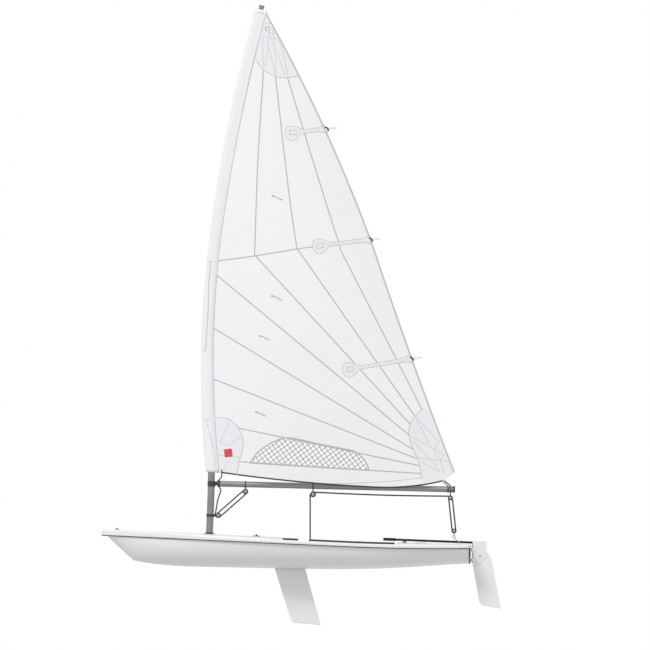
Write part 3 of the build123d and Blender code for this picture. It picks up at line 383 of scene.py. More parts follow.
def make_finishes():
    """Every finish, by the name that the pieces use."""
    return {
        "hull": polished_gelcoat(),
        "deck": nonslip_gelcoat(),
        "foil": faired_gelcoat(),
        "cloth": woven_cloth("woven_white_sailcloth", "#F3F4F6", "#EFF0F2"),
        "patch": woven_cloth("layered_white_sailcloth", "#EDEEF0", "#E9EAED"),
        "sleeve": woven_cloth("woven_white_sleeve_cloth", "#F1F2F4", "#ECEDF0"),
        "seam": stitched_tape("zigzag_stitched_seam", "#C3C5C8", "#8E9094"),
        "edge": stitched_tape("stitched_patch_edge", "#CFD1D3", "#A7A9AC"),
        "hem": stitched_tape("stitched_leech_tape", "#C9CBCD", "#9A9C9F"),
        # Its black also paints the shadow line along the sail's foot.
        "binding_and_shade": stitched_tape("stitched_black_binding_and_shade", "#2A292B", "#4A494C"),
        "red": plain_finish("self_adhesive_red_cloth", "#DE4A4C", "#D94245", 33.3 * MM, 0.5, 0.1 * MM),
        "film": window_film(),
        "scrim": plain_finish("woven_grey_scrim", "#7C7F83", "#6E7175", 8.33 * MM, 0.6, 0.1 * MM),
        "telltale": plain_finish("dark_wool_tuft", "#8A8C90", "#6F7175", 2.5 * MM, 0.95, 0.3 * MM,
                                 Sheen_Weight=0.4),
        "batten": plain_finish("pultruded_glass_fibre", "#ECEEEE", "#E2E4E5", 25 * MM, 0.35, 0.05 * MM),
        "spar": drawn_aluminium(),
        "nylon": moulded_nylon(),
        "steel": brushed_steel(),
        "webbing": woven_webbing(),
        "rope": braided_rope(),
        "pale_nylon": finish("moulded_grey_nylon", "#8E9093", Roughness=0.55)[0],
        "cord": plain_finish("waxed_black_cord", "#242326", "#323135", 6.67 * MM, 0.85, 0.4 * MM),
        "rubber": ribbed_rubber(),
        "black_tube": plain_finish("black_anodised_tube", "#242326", "#2E2D30", 83.3 * MM, 0.36, 0.04 * MM,
                                   Metallic=0.7),
        # Dark trim whose black also paints the shade under the gunwale's lip and at the stern.
        "dark_trim_and_shade": plain_finish("dark_trim_painted_shade", "#2C2B2D", "#353436", 20 * MM, 0.6, 0.1 * MM),
    }


NODE_FINISHES = {
    "hull": ["hull_shell"],
    "deck": ["cockpit_tub", "mast_step_tube", "inspection_port"],
    "foil": ["rudder_head", "rudder_blade", "daggerboard"],
    "spar": ["lower_mast", "upper_mast", "boom"],
    "nylon": ["mast_deck_collar", "bow_eye", "control_cleats", "sheet_cleats", "grab_rails",
              "traveller_cleat", "cockpit_block", "drain_plug", "mast_joint_ring",
              "boom_front_fitting", "boom_end_cap", "gooseneck", "boom_middle_block",
              "boom_end_block", "vang_boom_block", "vang_mast_block", "daggerboard_stop"],
    "steel": ["upper_gudgeon", "lower_gudgeon", "fairleads", "strap_posts", "bailer",
              "rudder_pintles", "blade_pivot_bolt"],
    "webbing": ["hiking_strap", "outhaul_strap"],
    "cord": ["traveller"],
    "pale_nylon": ["mast_head_cap"],
    "rubber": ["tiller_grip"],
    "black_tube": ["tiller"],
}


def dress_nodes(finishes):
    """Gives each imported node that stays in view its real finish."""
    for name, nodes in NODE_FINISHES.items():
        for node in nodes:
            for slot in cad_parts[node].material_slots:
                slot.link = "OBJECT"
                slot.material = finishes[name]


# Shared shape helpers


def new_piece(name, mesh, body, material, smooth=True):
    """Puts a mesh in the scene on its body, in one finish."""
    mesh.materials.append(finishes[material])
    if smooth:
        mesh.shade_smooth()
    piece = bpy.data.objects.new(name, mesh)
    bpy.context.scene.collection.objects.link(piece)
    if body:
        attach(piece, body)
    return piece


def mesh_of(name, verts, faces, uvs=None):
    """A mesh with an optional map, one pair for each corner of each face."""
    mesh = bpy.data.meshes.new(name)
    mesh.from_pydata([tuple(v) for v in verts], [], faces)
    if uvs is not None:
        layer = mesh.uv_layers.new(name="UVMap")
        for place, pair in zip(layer.data, uvs):
            place.uv = pair
    mesh.update()
    return mesh


def clamp(value):
    return min(max(value, 0.0), 1.0)


def arc_through(a, b, c, count):
    """Points of the arc through three points in the side view."""
    a, b, c = Vector(a), Vector(b), Vector(c)
    aa, bb, cc = a.length_squared, b.length_squared, c.length_squared
    d = 2 * (a.x * (b.y - c.y) + b.x * (c.y - a.y) + c.x * (a.y - b.y))
    ux = (aa * (b.y - c.y) + bb * (c.y - a.y) + cc * (a.y - b.y)) / d
    uy = (aa * (c.x - b.x) + bb * (a.x - c.x) + cc * (b.x - a.x)) / d
    centre = Vector((ux, uy))
    start = math.atan2(a.y - uy, a.x - ux)
    middle, end = ((math.atan2(p.y - uy, p.x - ux) - start + math.pi) % math.tau - math.pi for p in (b, c))
    if middle * end < 0:
        end += math.copysign(math.tau, middle)
    return [centre + Matrix.Rotation(end * i / count, 2) @ (a - centre) for i in range(count + 1)]


def arcs(marks, *counts):
    """Points along arcs in a row. Each goes through three marks and starts at the last one's end."""
    line = []
    for k, count in enumerate(counts):
        line += arc_through(*marks[2 * k:2 * k + 3], count)[bool(line):]
    return line


def smooth_path(points, step):
    """A smooth line through points in the side view, at about even steps. Two points give a
    straight line."""
    points = [Vector(p) for p in points]
    padded = [2 * points[0] - points[1]] + points + [2 * points[-1] - points[-2]]
    line = []
    for p0, p1, p2, p3 in zip(padded, padded[1:], padded[2:], padded[3:]):
        count = max(1, int((p2 - p1).length / step))
        for i in range(count):
            t = i / count
            line.append(0.5 * (2 * p1 + (p2 - p0) * t + (2 * p0 - 5 * p1 + 4 * p2 - p3) * t * t
                               + (3 * p1 - p0 - 3 * p2 + p3) * t ** 3))
    return line + [points[-1]]


def turn_of(start, way, end):
    """Centre of the arc that leaves start along way and ends at end; its radius has a side."""
    side = Vector((way.y, -way.x))
    chord = end - start
    radius = chord.length_squared / (2 * side.dot(chord))
    return start + side * radius, radius


def arc_points(start, way, end, count):
    """Points of the arc that leaves start along way and ends at end, and its last direction."""
    start, way, end = Vector(start), Vector(way).normalized(), Vector(end)
    centre = turn_of(start, way, end)[0]
    turned = 2 * math.atan2(way.cross(end - start), way.dot(end - start))
    points = [centre + Matrix.Rotation(turned * i / count, 2) @ (start - centre) for i in range(count + 1)]
    return points, Matrix.Rotation(turned, 2) @ way


def heading(path, i):
    """A path's direction at one of its points."""
    return (path[min(i + 1, len(path) - 1)] - path[max(i - 1, 0)]).normalized()


def ring(centre, radius, start, end, count=16):
    """Points round a centre in the side view, from one angle to another in degrees."""
    turns = [math.radians(start + (end - start) * i / count) for i in range(count + 1)]
    return [Vector(centre) + radius * Vector((math.cos(turn), math.sin(turn))) for turn in turns]


def upright(point, y=0.0):
    """A point of the side view as a place in space."""
    return Vector((point[0], y, point[1]))


def box_of(line):
    """The lowest and highest corner of a line's box in the side view."""
    xs, ys = [p.x for p in line], [p.y for p in line]
    return Vector((min(xs), min(ys))), Vector((max(xs), max(ys)))


def at_height(line, height):
    """Where a line in the side view crosses a height."""
    for a, b in zip(line, line[1:]):
        if min(a.y, b.y) <= height <= max(a.y, b.y):
            return a.x + (b.x - a.x) * (height - a.y) / ((b.y - a.y) or 1)
    return (line[0] if abs(line[0].y - height) < abs(line[-1].y - height) else line[-1]).x


def inside(point, loop):
    """Whether a point in the side view lies in a closed loop."""
    hit = False
    for a, b in zip(loop, loop[1:] + loop[:1]):
        if (a.y > point.y) != (b.y > point.y):
            if point.x < a.x + (b.x - a.x) * (point.y - a.y) / (b.y - a.y):
                hit = not hit
    return hit


# Mast line and the sail's shape

MAST_FOOT = Vector((-0.8854, -0.028))
MAST_TURN = Vector((-0.8566, 0.700))
MAST_BEND = Vector((-0.8596, 1.500))
MAST_HEAD = Vector((-0.2801, 6.290))
low_way = (MAST_TURN - MAST_FOOT).normalized()
low_centre, low_radius = turn_of(MAST_TURN, low_way, MAST_BEND)
side_at_bend = (low_centre - MAST_BEND) / low_radius
high_centre, high_radius = turn_of(MAST_BEND, Vector((-side_at_bend.y, side_at_bend.x)), MAST_HEAD)


def mast_x(height):
    """The bent mast's axis in the side view, above its straight foot."""
    centre, radius = (low_centre, low_radius) if height < MAST_BEND.y else (high_centre, high_radius)
    return centre.x - math.copysign(math.sqrt(radius ** 2 - (height - centre.y) ** 2), radius)


# Level slices of the cloth: height, luff, leech, depth of the belly as a share of the slice.
SLICES = [
    (0.761, -0.8250, 2.0900, 0.045),
    (2.1845, -0.8525, 1.5400, 0.095),
    (4.2103, -0.7370, 0.8250, 0.100),
    (6.3729, -0.3850, -0.0275, 0.060),
]


def slice_at(height):
    """Luff, leech and belly at a height, on the smooth curve through the four slices."""
    out = [0.0, 0.0, 0.0]
    for i, row in enumerate(SLICES):
        weight = 1.0
        for j, other in enumerate(SLICES):
            if i != j:
                weight *= (height - other[0]) / (row[0] - other[0])
        for k in range(3):
            out[k] += weight * row[k + 1]
    return out


def cloth_y(x, z):
    """Where the cloth stands across the boat, at a place in the side view. It bellies to port."""
    luff, leech, belly = slice_at(z)
    u = clamp((x - luff) / (leech - luff))
    return -4 * belly * (leech - luff) * u * (1 - u)


def on_cloth(point, off):
    """A place on the cloth, off to starboard of its middle."""
    return Vector((point[0], cloth_y(point[0], point[1]) + off, point[1]))


# Marks on the sail's edges, as they are drawn: each edge is arcs through them
SLEEVE_FRONT = arcs([(-0.9122, 1.0021), (-0.9680, 2.2330), (-0.8877, 3.5283), (-0.6724, 4.8961),
                     (-0.3548, 6.2370)], 30, 30)
SLEEVE_SEAM = arcs([(-0.7640, 0.9845), (-0.8298, 2.2715), (-0.7648, 3.5283), (-0.5415, 4.8961),
                    (-0.2255, 6.2370)], 30, 30)
LEECH = arcs([(-0.2255, 6.2370), (0.4560, 4.8961), (1.0148, 3.5283), (1.4479, 2.2743),
              (1.9264, 0.9977)], 40, 40)
FOOT = arcs([(1.7897, 0.8894), (1.4130, 0.8267), (1.0717, 0.8151), (0.0451, 0.8888),
             (-0.7296, 0.9845)], 14, 30)
WINDOW_ARCH = smooth_path([(-0.408, 1.101), (-0.388, 1.132), (-0.314, 1.228), (-0.207, 1.306),
                           (-0.103, 1.359), (0.003, 1.385), (0.108, 1.377), (0.425, 1.306),
                           (0.741, 1.244), (0.805, 1.216), (0.868, 1.164), (0.920, 1.090),
                           (0.946, 1.017)], 30 * MM)
WINDOW_SILL = smooth_path([WINDOW_ARCH[-1], WINDOW_ARCH[0]], 33.9 * MM)
WINDOW = WINDOW_ARCH + WINDOW_SILL[1:-1]


def cloth_normal(x, z):
    """The port face's direction at a place on the cloth."""
    step = 0.002
    across = (cloth_y(x + step, z) - cloth_y(x - step, z)) / (2 * step)
    up = (cloth_y(x, z + step) - cloth_y(x, z - step)) / (2 * step)
    return Vector((across, -1, up)).normalized()


def panel(name, material, outline, spacing, thickness, holes=()):
    """A piece of cloth on the sail's curve: a closed sheet cut to an outline, with holes left in it."""
    loops = [outline, *holes]
    points, edges = [], []
    for loop in loops:
        start = len(points)
        points += [Vector(p) for p in loop]
        edges += [(start + i, start + (i + 1) % len(loop)) for i in range(len(loop))]
    low, high = box_of(outline)
    for i in range(int((high.x - low.x) / spacing) + 1):
        for j in range(int((high.y - low.y) / spacing) + 1):
            p = low + spacing * Vector((i + 0.5 * (j % 2), j + 0.5))
            if not inside(p, outline) or any(inside(p, h) for h in holes):
                continue
            if min((p - q).length for loop in loops for q in loop) > spacing * 0.45:
                points.append(p)
    made = geometry.delaunay_2d_cdt(points, edges, [], 0, 1e-6)
    flat, faces = made[0], made[2]
    kept, sides = [], {}
    for face in faces:
        middle = sum((flat[i] for i in face), Vector((0, 0))) / len(face)
        if inside(middle, outline) and not any(inside(middle, h) for h in holes):
            kept.append(tuple(face))
            for a, b in zip(face, tuple(face[1:]) + tuple(face[:1])):
                sides[(a, b)] = (b, a) not in sides
                if (b, a) in sides:
                    sides[(b, a)] = False
    count = len(flat)
    verts = [on_cloth(v, off) for off in (-thickness / 2, thickness / 2) for v in flat]
    shell = kept + [tuple(i + count for i in reversed(face)) for face in kept]
    shell += [(b, a, a + count, b + count) for (a, b), edge in sides.items() if edge]
    normals = [cloth_normal(*v) for v in flat]
    mesh = mesh_of(name, verts, shell)
    mesh.shade_smooth()
    mesh.normals_split_custom_set_from_vertices(normals + [-n for n in normals])
    return new_piece(name, mesh, "rig", material)


class Lines:
    """Ropes or tapes gathered in one mesh. Its map runs along each in metres, and round or across it."""

    def __init__(self):
        self.verts, self.faces, self.uvs = [], [], []
        self.smooth = False

    def rope(self, path, radius, sides=12):
        """Adds a round rope along a path."""
        path = [Vector(p) for p in path]
        side = heading(path, 0).orthogonal().normalized()
        for i, p in enumerate(path):
            way = heading(path, i)
            side = (side - way * side.dot(way)).normalized()
            other = way.cross(side)
            for k in range(sides):
                angle = math.tau * k / sides
                self.verts.append(p + (side * math.cos(angle) + other * math.sin(angle)) * radius)
        self.join(path, [(k / sides, (k + 1) / sides) for k in range(sides)])
        self.smooth = True

    def tape(self, path, width, thickness, surface=on_cloth):
        """Adds a flat tape along a path in the side view, its section a box round the surface."""
        path = [Vector(p) for p in path]
        for i, p in enumerate(path):
            way = heading(path, i)
            side = Vector((-way.y, way.x)) * width / 2
            for sign, off in ((-1, -1), (1, -1), (1, 1), (-1, 1)):
                self.verts.append(surface(p + side * sign, off * thickness / 2))
        self.join(path, [(-1, 1), (1, 1), (1, -1), (-1, -1)])

    def join(self, path, bands):
        """Joins the slices just added along a path and closes its ends. A band is one side of the
        slices, given as the map's values at its two edges."""
        wide = len(bands)
        base = len(self.verts) - wide * len(path)
        run = 0.0
        for i in range(len(path) - 1):
            ahead = run + (path[i + 1] - path[i]).length
            for k, (first, second) in enumerate(bands):
                a, b = base + i * wide + k, base + i * wide + (k + 1) % wide
                self.faces.append((a, b, b + wide, a + wide))
                self.uvs += [(run, first), (run, second), (ahead, second), (ahead, first)]
            run = ahead
        last = len(self.verts) - wide
        self.faces += [tuple(range(base, base + wide))[::-1], tuple(range(last, last + wide))]
        self.uvs += [(0, 0)] * 2 * wide

    def piece(self, name, material, slot="sail_cloth", body="rig"):
        mesh = mesh_of(name, self.verts, self.faces, self.uvs)
        return new_piece(name, mesh, body, material, smooth=self.smooth)


# Sail

# Width and thickness of each tape and row of stitching. The thickness counts both faces of the cloth.
SEAM = (13 * MM, 2.0 * MM)
FOOT_SEAM = (8 * MM, 1.8 * MM)
WINDOW_TAPE = (16 * MM, 1.8 * MM)
SCRIM_THREAD = (6.5 * MM, 1.0 * MM)
PATCH_EDGE = (9 * MM, 4.0 * MM)
PATCH_STITCHES = (6 * MM, 3.9 * MM)
LEECH_TAPE = (18 * MM, 4.4 * MM)
FOOT_BINDING_SHADE = (17 * MM, 4.0 * MM)
SLEEVE_TAPE = (12 * MM, 3.4 * MM)
SLEEVE_BAND = (9 * MM, 3.0 * MM)
SLEEVE_LAYER_END = (8 * MM, 3.0 * MM)
SLEEVE_STITCHES = (6 * MM, 3.0 * MM)
TELLTALE_PATCH = (24 * MM, 3.0 * MM)
POCKET_EDGE = (7 * MM, 3.6 * MM)
POCKET_STITCHES = (6 * MM, 3.8 * MM)
BATTEN = (24 * MM, 4.4 * MM)
BATTEN_STRAP = (17 * MM, 5.4 * MM)
CLOTH, FILM, PATCH, POCKET, EMBLEM = 1.0 * MM, 0.5 * MM, 3.2 * MM, 3.0 * MM, 3.4 * MM


def make_panels():
    """The sail's cloth behind the sleeve, with its window left open."""
    return panel("sail_panels", "cloth", LEECH + FOOT + SLEEVE_SEAM[:-1], 70 * MM, CLOTH, holes=[WINDOW])


# The window's mesh: its pitch, its turn from 45 degrees, how far it is laid out from the middle, and
# the steps in which a thread is cut to the window
SCRIM_PITCH, SCRIM_TILT, SCRIM_REACH, SCRIM_STEP = 46.7 * MM, math.radians(-8.8), 1.2, 10 * MM
STEPS_IN_A_PIECE = 6


def make_window():
    """The film in its taped opening, and its scrim of crossed threads."""
    middle = sum(WINDOW, Vector((0, 0))) / len(WINDOW)
    hem = 12 * MM
    grown = [p + (p - middle).normalized() * hem for p in WINDOW]
    panel("window_film", "film", grown, 80 * MM, FILM)
    threads = Lines()
    low, high = box_of(WINDOW)
    many = int(SCRIM_REACH / SCRIM_PITCH)
    for turn in (math.radians(45), math.radians(-45)):
        way = Vector((math.cos(turn + SCRIM_TILT), math.sin(turn + SCRIM_TILT)))
        side = Vector((-way.y, way.x))
        for k in range(-many, many + 1):
            start = (low + high) / 2 + side * k * SCRIM_PITCH - way * SCRIM_REACH
            run = []
            for i in range(round(2 * SCRIM_REACH / SCRIM_STEP) + 1):
                p = start + way * i * SCRIM_STEP
                if inside(p, WINDOW):
                    run.append(p)
                elif run:
                    if len(run) > 1:
                        threads.tape(run[::STEPS_IN_A_PIECE] + [run[-1]], *SCRIM_THREAD)
                    run = []
    threads.piece("window_scrim", "scrim")
    hems = Lines()
    hems.tape(WINDOW_ARCH, *WINDOW_TAPE)
    hems.tape(WINDOW_SILL, *WINDOW_TAPE)
    hems.piece("window_tape", "seam")


HEAD_PATCH_EDGE = [(-0.342, 5.694), (-0.257, 5.583), (-0.120, 5.510), (0.017, 5.493), (0.135, 5.518)]
SEAMS = [
    # Vertical seams of the upper panels.
    [(-0.257, 5.583), (-0.320, 4.554), (-0.359, 3.460)],
    [(-0.120, 5.510), (0.029, 4.212), (0.125, 3.540)],
    [(0.017, 5.493), (0.410, 4.212), (0.621, 3.548)],
    # The seam across the middle.
    [(-0.787, 3.403), (-0.359, 3.460), (0.125, 3.540), (0.336, 3.568)],
    # Seams that fan out from the clew.
    [(-0.349, 3.462), (0.533, 2.507), (1.414, 1.545)],
    [(0.133, 3.535), (0.801, 2.584), (1.469, 1.634)],
    [(0.610, 3.552), (1.073, 2.645), (1.550, 1.712)],
    [(-0.800, 3.251), (0.306, 2.333), (1.406, 1.415)],
    [(-0.832, 2.643), (0.305, 1.951), (1.442, 1.260)],
    [(-0.832, 2.060), (0.328, 1.605), (1.488, 1.151)],
    [(-0.540, 1.497), (0.492, 1.283), (1.524, 1.069)],
    [(-0.531, 1.115), (0.505, 1.047), (1.542, 0.979)],
]
FOOT_SEAM_LINE = [(0.388, 0.862), (0.90, 0.874), (1.30, 0.903), (1.721, 0.958), (1.917, 1.000)]


def make_seams():
    """The stitched seams between the panels, and the finer one along the foot."""
    seams = Lines()
    for points in SEAMS:
        seams.tape(smooth_path(points, 60 * MM), *SEAM)
    seams.piece("sail_seams", "seam")
    foot = Lines()
    foot.tape(smooth_path(FOOT_SEAM_LINE, 50 * MM), *FOOT_SEAM)
    foot.piece("foot_panel_seam", "edge")


CLEW_ARC = [(1.562, 1.722), (1.477, 1.638), (1.416, 1.546), (1.401, 1.416), (1.447, 1.263),
            (1.500, 1.148), (1.523, 1.071), (1.550, 0.941)]
CLEW_LINES = [
    [(1.477, 1.630), (1.745, 1.339)], [(1.485, 1.600), (1.638, 1.316)],
    [(1.401, 1.416), (1.654, 1.278), (1.807, 1.186)], [(1.439, 1.355), (1.638, 1.156)],
    [(1.500, 1.152), (1.684, 1.140), (1.853, 1.121)], [(1.531, 1.117), (1.738, 1.010)],
    [(1.745, 1.339), (1.692, 1.263), (1.730, 1.156)], [(1.807, 1.194), (1.757, 1.140), (1.807, 0.987)],
    [(1.676, 1.125), (1.753, 0.987)],
]
HEAD_LINES = [
    [(-0.266, 5.968), (-0.259, 5.611)], [(-0.194, 6.020), (-0.185, 5.942)],
    [(-0.215, 5.942), (-0.205, 5.846), (-0.220, 5.750), (-0.237, 5.602)], [(-0.194, 5.838), (-0.124, 5.535)],
    [(-0.168, 5.925), (-0.129, 5.838), (-0.122, 5.767), (-0.115, 5.520)], [(-0.093, 5.755), (-0.006, 5.515)],
    [(-0.150, 6.085), (-0.131, 5.864)], [(-0.096, 5.940), (-0.040, 5.811), (0.022, 5.515)],
    [(-0.262, 5.982), (-0.215, 5.950), (-0.172, 5.938), (-0.100, 5.942)], [(-0.189, 6.003), (-0.120, 6.003)],
    [(-0.260, 6.122), (-0.158, 6.104)],
]
HEAD_EYE = (-0.2120, 6.052)
TACK_ARC = [(-0.790, 1.619), (-0.718, 1.616), (-0.638, 1.590), (-0.560, 1.524), (-0.510, 1.430),
            (-0.490, 1.350), (-0.502, 1.237), (-0.536, 1.111), (-0.559, 0.968)]
TACK_LINES = [
    [(-0.637, 1.585), (-0.755, 1.338)], [(-0.500, 1.403), (-0.640, 1.311), (-0.663, 1.303)],
    [(-0.757, 1.345), (-0.663, 1.303)], [(-0.772, 1.235), (-0.700, 1.254)],
    [(-0.775, 1.193), (-0.700, 1.185)], [(-0.600, 1.168), (-0.512, 1.166)],
    [(-0.640, 1.150), (-0.709, 1.036)],
]


def make_patches():
    """Extra layers of cloth at the head, tack and clew, with their edges and radial stitching."""
    # Each patch runs on along the sail's edges from where its inner edge meets them.
    leech, foot, seam = LEECH[::-1], FOOT[::-1], SLEEVE_SEAM[::-1]
    head = [p for p in leech if p.y > 5.53] + [p for p in seam if 5.70 < p.y < 6.23]
    clew = [p for p in foot if p.x > 1.56] + [p for p in leech if p.y < 1.74]
    tack = [p for p in FOOT if p.x < -0.57] + [p for p in SLEEVE_SEAM if p.y < 1.60]
    edges = Lines()
    for name, inner, outer in (("head_patch", HEAD_PATCH_EDGE, head), ("clew_patch", CLEW_ARC, clew),
                               ("tack_patch", TACK_ARC, tack)):
        panel(name, "patch", [Vector(p) for p in inner] + outer, 60 * MM, PATCH)
        edges.tape(smooth_path(inner, 30 * MM), *PATCH_EDGE)
    for points in HEAD_LINES + CLEW_LINES + TACK_LINES:
        edges.tape(smooth_path(points, 40 * MM), *PATCH_STITCHES)
    edges.piece("patch_edges", "edge")


def make_head_eye():
    """The pressed eye below the head, a steel ring on each face."""
    eye = Lines()
    for off in (-2.0 * MM, 2.0 * MM):
        eye.rope([on_cloth(place, off) for place in ring(HEAD_EYE, 24 * MM, 0, 360, 24)], 3.6 * MM, 10)
    eye.piece("head_eye", "steel", "steel")


def make_hems():
    """The leech tape and the dark binding along the foot, each just inside its edge. The binding's black
    also paints the shadow line along the foot.
    """
    leech = Lines()
    leech.tape([p + Vector((-9 * MM, -3 * MM)) for p in LEECH], *LEECH_TAPE)
    leech.piece("leech_tape", "hem")
    foot = Lines()
    foot.tape([p + Vector((0, 8 * MM)) for p in FOOT], *FOOT_BINDING_SHADE)
    foot.piece("foot_binding_shadow_line", "binding_and_shade")


# Sleeve

# The slanted top, above the sail's head, and the heights that the sleeve is made between
SLEEVE_TOP_FRONT, SLEEVE_TOP_BACK = Vector((-0.3380, 6.300)), Vector((-0.2060, 6.285))
SLEEVE_LOW, SLEEVE_HIGH, SLANT_START, SLANT = 0.998, 6.270, 6.20, 0.272
# Half the sleeve's width round the lower and the upper mast, and where it narrows
HALF_LOW, HALF_HIGH, NARROW_START, NARROW_LENGTH = 45 * MM, 33 * MM, 2.82, 0.35
SEAM_OVERLAP = 4 * MM
WRINKLE, PINCH = 0.7 * MM, 0.8 * MM
# The back of the layer sewn over the sleeve's front, where the mast's joint rubs, and how wide it is
SLEEVE_LAYER = [(-0.856, 3.396), (-0.880, 3.145), (-0.888, 2.840), (-0.918, 2.380)]
SLEEVE_LAYER_WIDTH = 46 * MM
# Points, step and tape of each line across the sleeve
SLEEVE_LINES = [
    # The back and the top of the patch at the tack
    ([(-0.911, 1.593), (-0.854, 1.364), (-0.801, 1.074)], 30 * MM, SLEEVE_STITCHES),
    ([(-0.911, 1.594), (-0.790, 1.612)], 20 * MM, SLEEVE_STITCHES),
    # The hem of the open foot, and the band under the masthead
    ([(-0.905, 1.008), (-0.768, 0.992)], 10 * MM, SLEEVE_TAPE),
    ([(-0.352, 6.245), (-0.222, 6.215)], 8 * MM, SLEEVE_BAND),
]


def sleeve_edges(height):
    """The sleeve's front, its seam and the mast's axis at a height."""
    return (at_height(SLEEVE_FRONT + [SLEEVE_TOP_FRONT], height),
            at_height(SLEEVE_SEAM + [SLEEVE_TOP_BACK], height), mast_x(height))


def half_of_sleeve(height):
    return HALF_LOW - (HALF_LOW - HALF_HIGH) * clamp((height - NARROW_START) / NARROW_LENGTH)


def on_sleeve(point, off, side):
    """A place on the sleeve's face, to port where side is -1."""
    height = point[1]
    front, seam, axis = sleeve_edges(height)
    half = half_of_sleeve(height)
    x = max(point[0], front)
    if x < axis:
        u = min((axis - x) / (axis - front), 1)
        y = half * math.sqrt(1 - u * u)
    else:
        s = min((x - axis) / (seam + SEAM_OVERLAP - axis), 1)
        y = half * (1 - s * s) + side * cloth_y(seam, height) * s * s
    return Vector((x, side * y + off, height))


def sleeve_loop(height):
    """One slice of the mast sleeve: round in front, pinched to the seam behind."""
    front, seam, axis = sleeve_edges(height)
    half = half_of_sleeve(height)
    back_y = cloth_y(seam, height)
    loop, count = [], 28
    for i in range(count + 1):
        t = -1 + 2 * i / count
        u = abs(t)
        side = -1 if t < 0 else 1
        if u < 0.5:
            angle = math.pi * u
            x = axis - (axis - front) * math.cos(angle)
            y = side * half * math.sin(angle)
        else:
            s = (u - 0.5) * 2
            x = axis + (seam + SEAM_OVERLAP - axis) * s
            y = side * half * (1 - s * s) + back_y * s * s + side * PINCH * s
        # Shallow cross wrinkles where the bent mast pulls the cloth.
        wave = math.sin(height * 41 + 3 * math.sin(height * 7)) * math.sin(math.pi * min(u * 1.2, 1))
        loop.append(Vector((x, y + side * WRINKLE * wave, height)))
    return loop


def make_sleeve():
    """The sleeve that the mast slides into, open at its foot and closed round the mast's head."""
    heights = [SLEEVE_LOW + (SLEEVE_HIGH - SLEEVE_LOW) * i / 170 for i in range(171)]
    rows = [sleeve_loop(h) for h in heights]
    # The top slants: it rises towards the front.
    for row, height in zip(rows, heights):
        rise = clamp((height - SLANT_START) / (SLEEVE_HIGH - SLANT_START))
        for place in row:
            place.z += SLANT * (mast_x(height) - place.x) * rise
    wide = len(rows[0])
    verts = [v for row in rows for v in row]
    faces = [(j * wide + i, j * wide + i + 1, (j + 1) * wide + i + 1, (j + 1) * wide + i)
             for j in range(len(rows) - 1) for i in range(wide - 1)]
    faces.append(tuple(range(len(verts) - wide, len(verts))))
    mesh = mesh_of("mast_sleeve", verts, faces)
    sleeve = new_piece("mast_sleeve", mesh, "rig", "sleeve")
    thickness = sleeve.modifiers.new("thickness", "SOLIDIFY")
    thickness.thickness = 0.9 * MM
    thickness.offset = -1


def make_sleeve_lines():
    """The seam that closes the sleeve, and the tapes and stitching on both its sides."""
    seam = Lines()
    seam.tape(SLEEVE_SEAM, *SLEEVE_TAPE)
    seam.piece("sleeve_seam", "seam")
    lines = Lines()
    back = smooth_path(SLEEVE_LAYER, 30 * MM)
    for side in (-1, 1):
        def face(point, off):
            return on_sleeve(point, off, side)
        lines.tape(back, *SLEEVE_TAPE, surface=face)
        for end in (back[0], back[-1]):
            front = end - Vector((SLEEVE_LAYER_WIDTH, 0))
            lines.tape(smooth_path([end, front], 10 * MM), *SLEEVE_LAYER_END, surface=face)
        for points, step, tape in SLEEVE_LINES:
            lines.tape(smooth_path(points, step), *tape, surface=face)
    lines.piece("sleeve_patch_edges", "edge")


# Small pieces on the sail

EMBLEM_CORNERS = [(-0.709, 1.259), (-0.618, 1.265), (-0.606, 1.171), (-0.698, 1.162)]
TELLTALES = [(-0.152, 4.144), (-0.160, 3.004), (-0.296, 2.548), (-0.342, 1.681)]


def make_emblem():
    """The plain red square near the tack: a doubled patch of red cloth."""
    panel("red_square", "red", [Vector(c) for c in EMBLEM_CORNERS], 20 * MM, EMBLEM)


def make_telltales():
    """Wool tufts, each stuck to the cloth by a small patch and trailing aft."""
    tufts, dots = Lines(), Lines()
    for x, z in TELLTALES:
        for side in (-1, 1):
            path = [on_cloth((x + 0.112 * t, z - 0.040 * t + 0.006 * math.sin(6 * t)),
                             side * (2.5 + 6 * t) * MM) for t in [i / 10 for i in range(11)]]
            tufts.rope(path, 2.2 * MM, 6)
        dots.tape(smooth_path([(x - 12 * MM, z), (x + 12 * MM, z)], 20 * MM), *TELLTALE_PATCH)
    tufts.piece("telltales", "telltale")
    dots.piece("telltale_patches", "edge")


BATTENS = {
    # name: inner end of the pocket, its outer end at the leech, the batten's free end
    "batten_top": ((0.020, 4.862), (0.470, 4.907), (0.578, 4.921)),
    "batten_middle": ((0.331, 3.571), (0.972, 3.645), (1.078, 3.657)),
    "batten_lower": ((0.673, 2.160), (1.437, 2.287), (1.548, 2.304)),
}
# A pocket's leaf-shaped inner end, above and below the batten: places along it and away from it
LEAF_TOP = [(-0.020, 0.045), (0.005, 0.078), (0.060, 0.074), (0.115, 0.058), (0.150, 0.034), (0.185, 0.022)]
LEAF_LOW = [(0.185, 0.020), (0.140, 0.036), (0.100, 0.070), (0.060, 0.090), (0.010, 0.080), (-0.022, 0.040)]


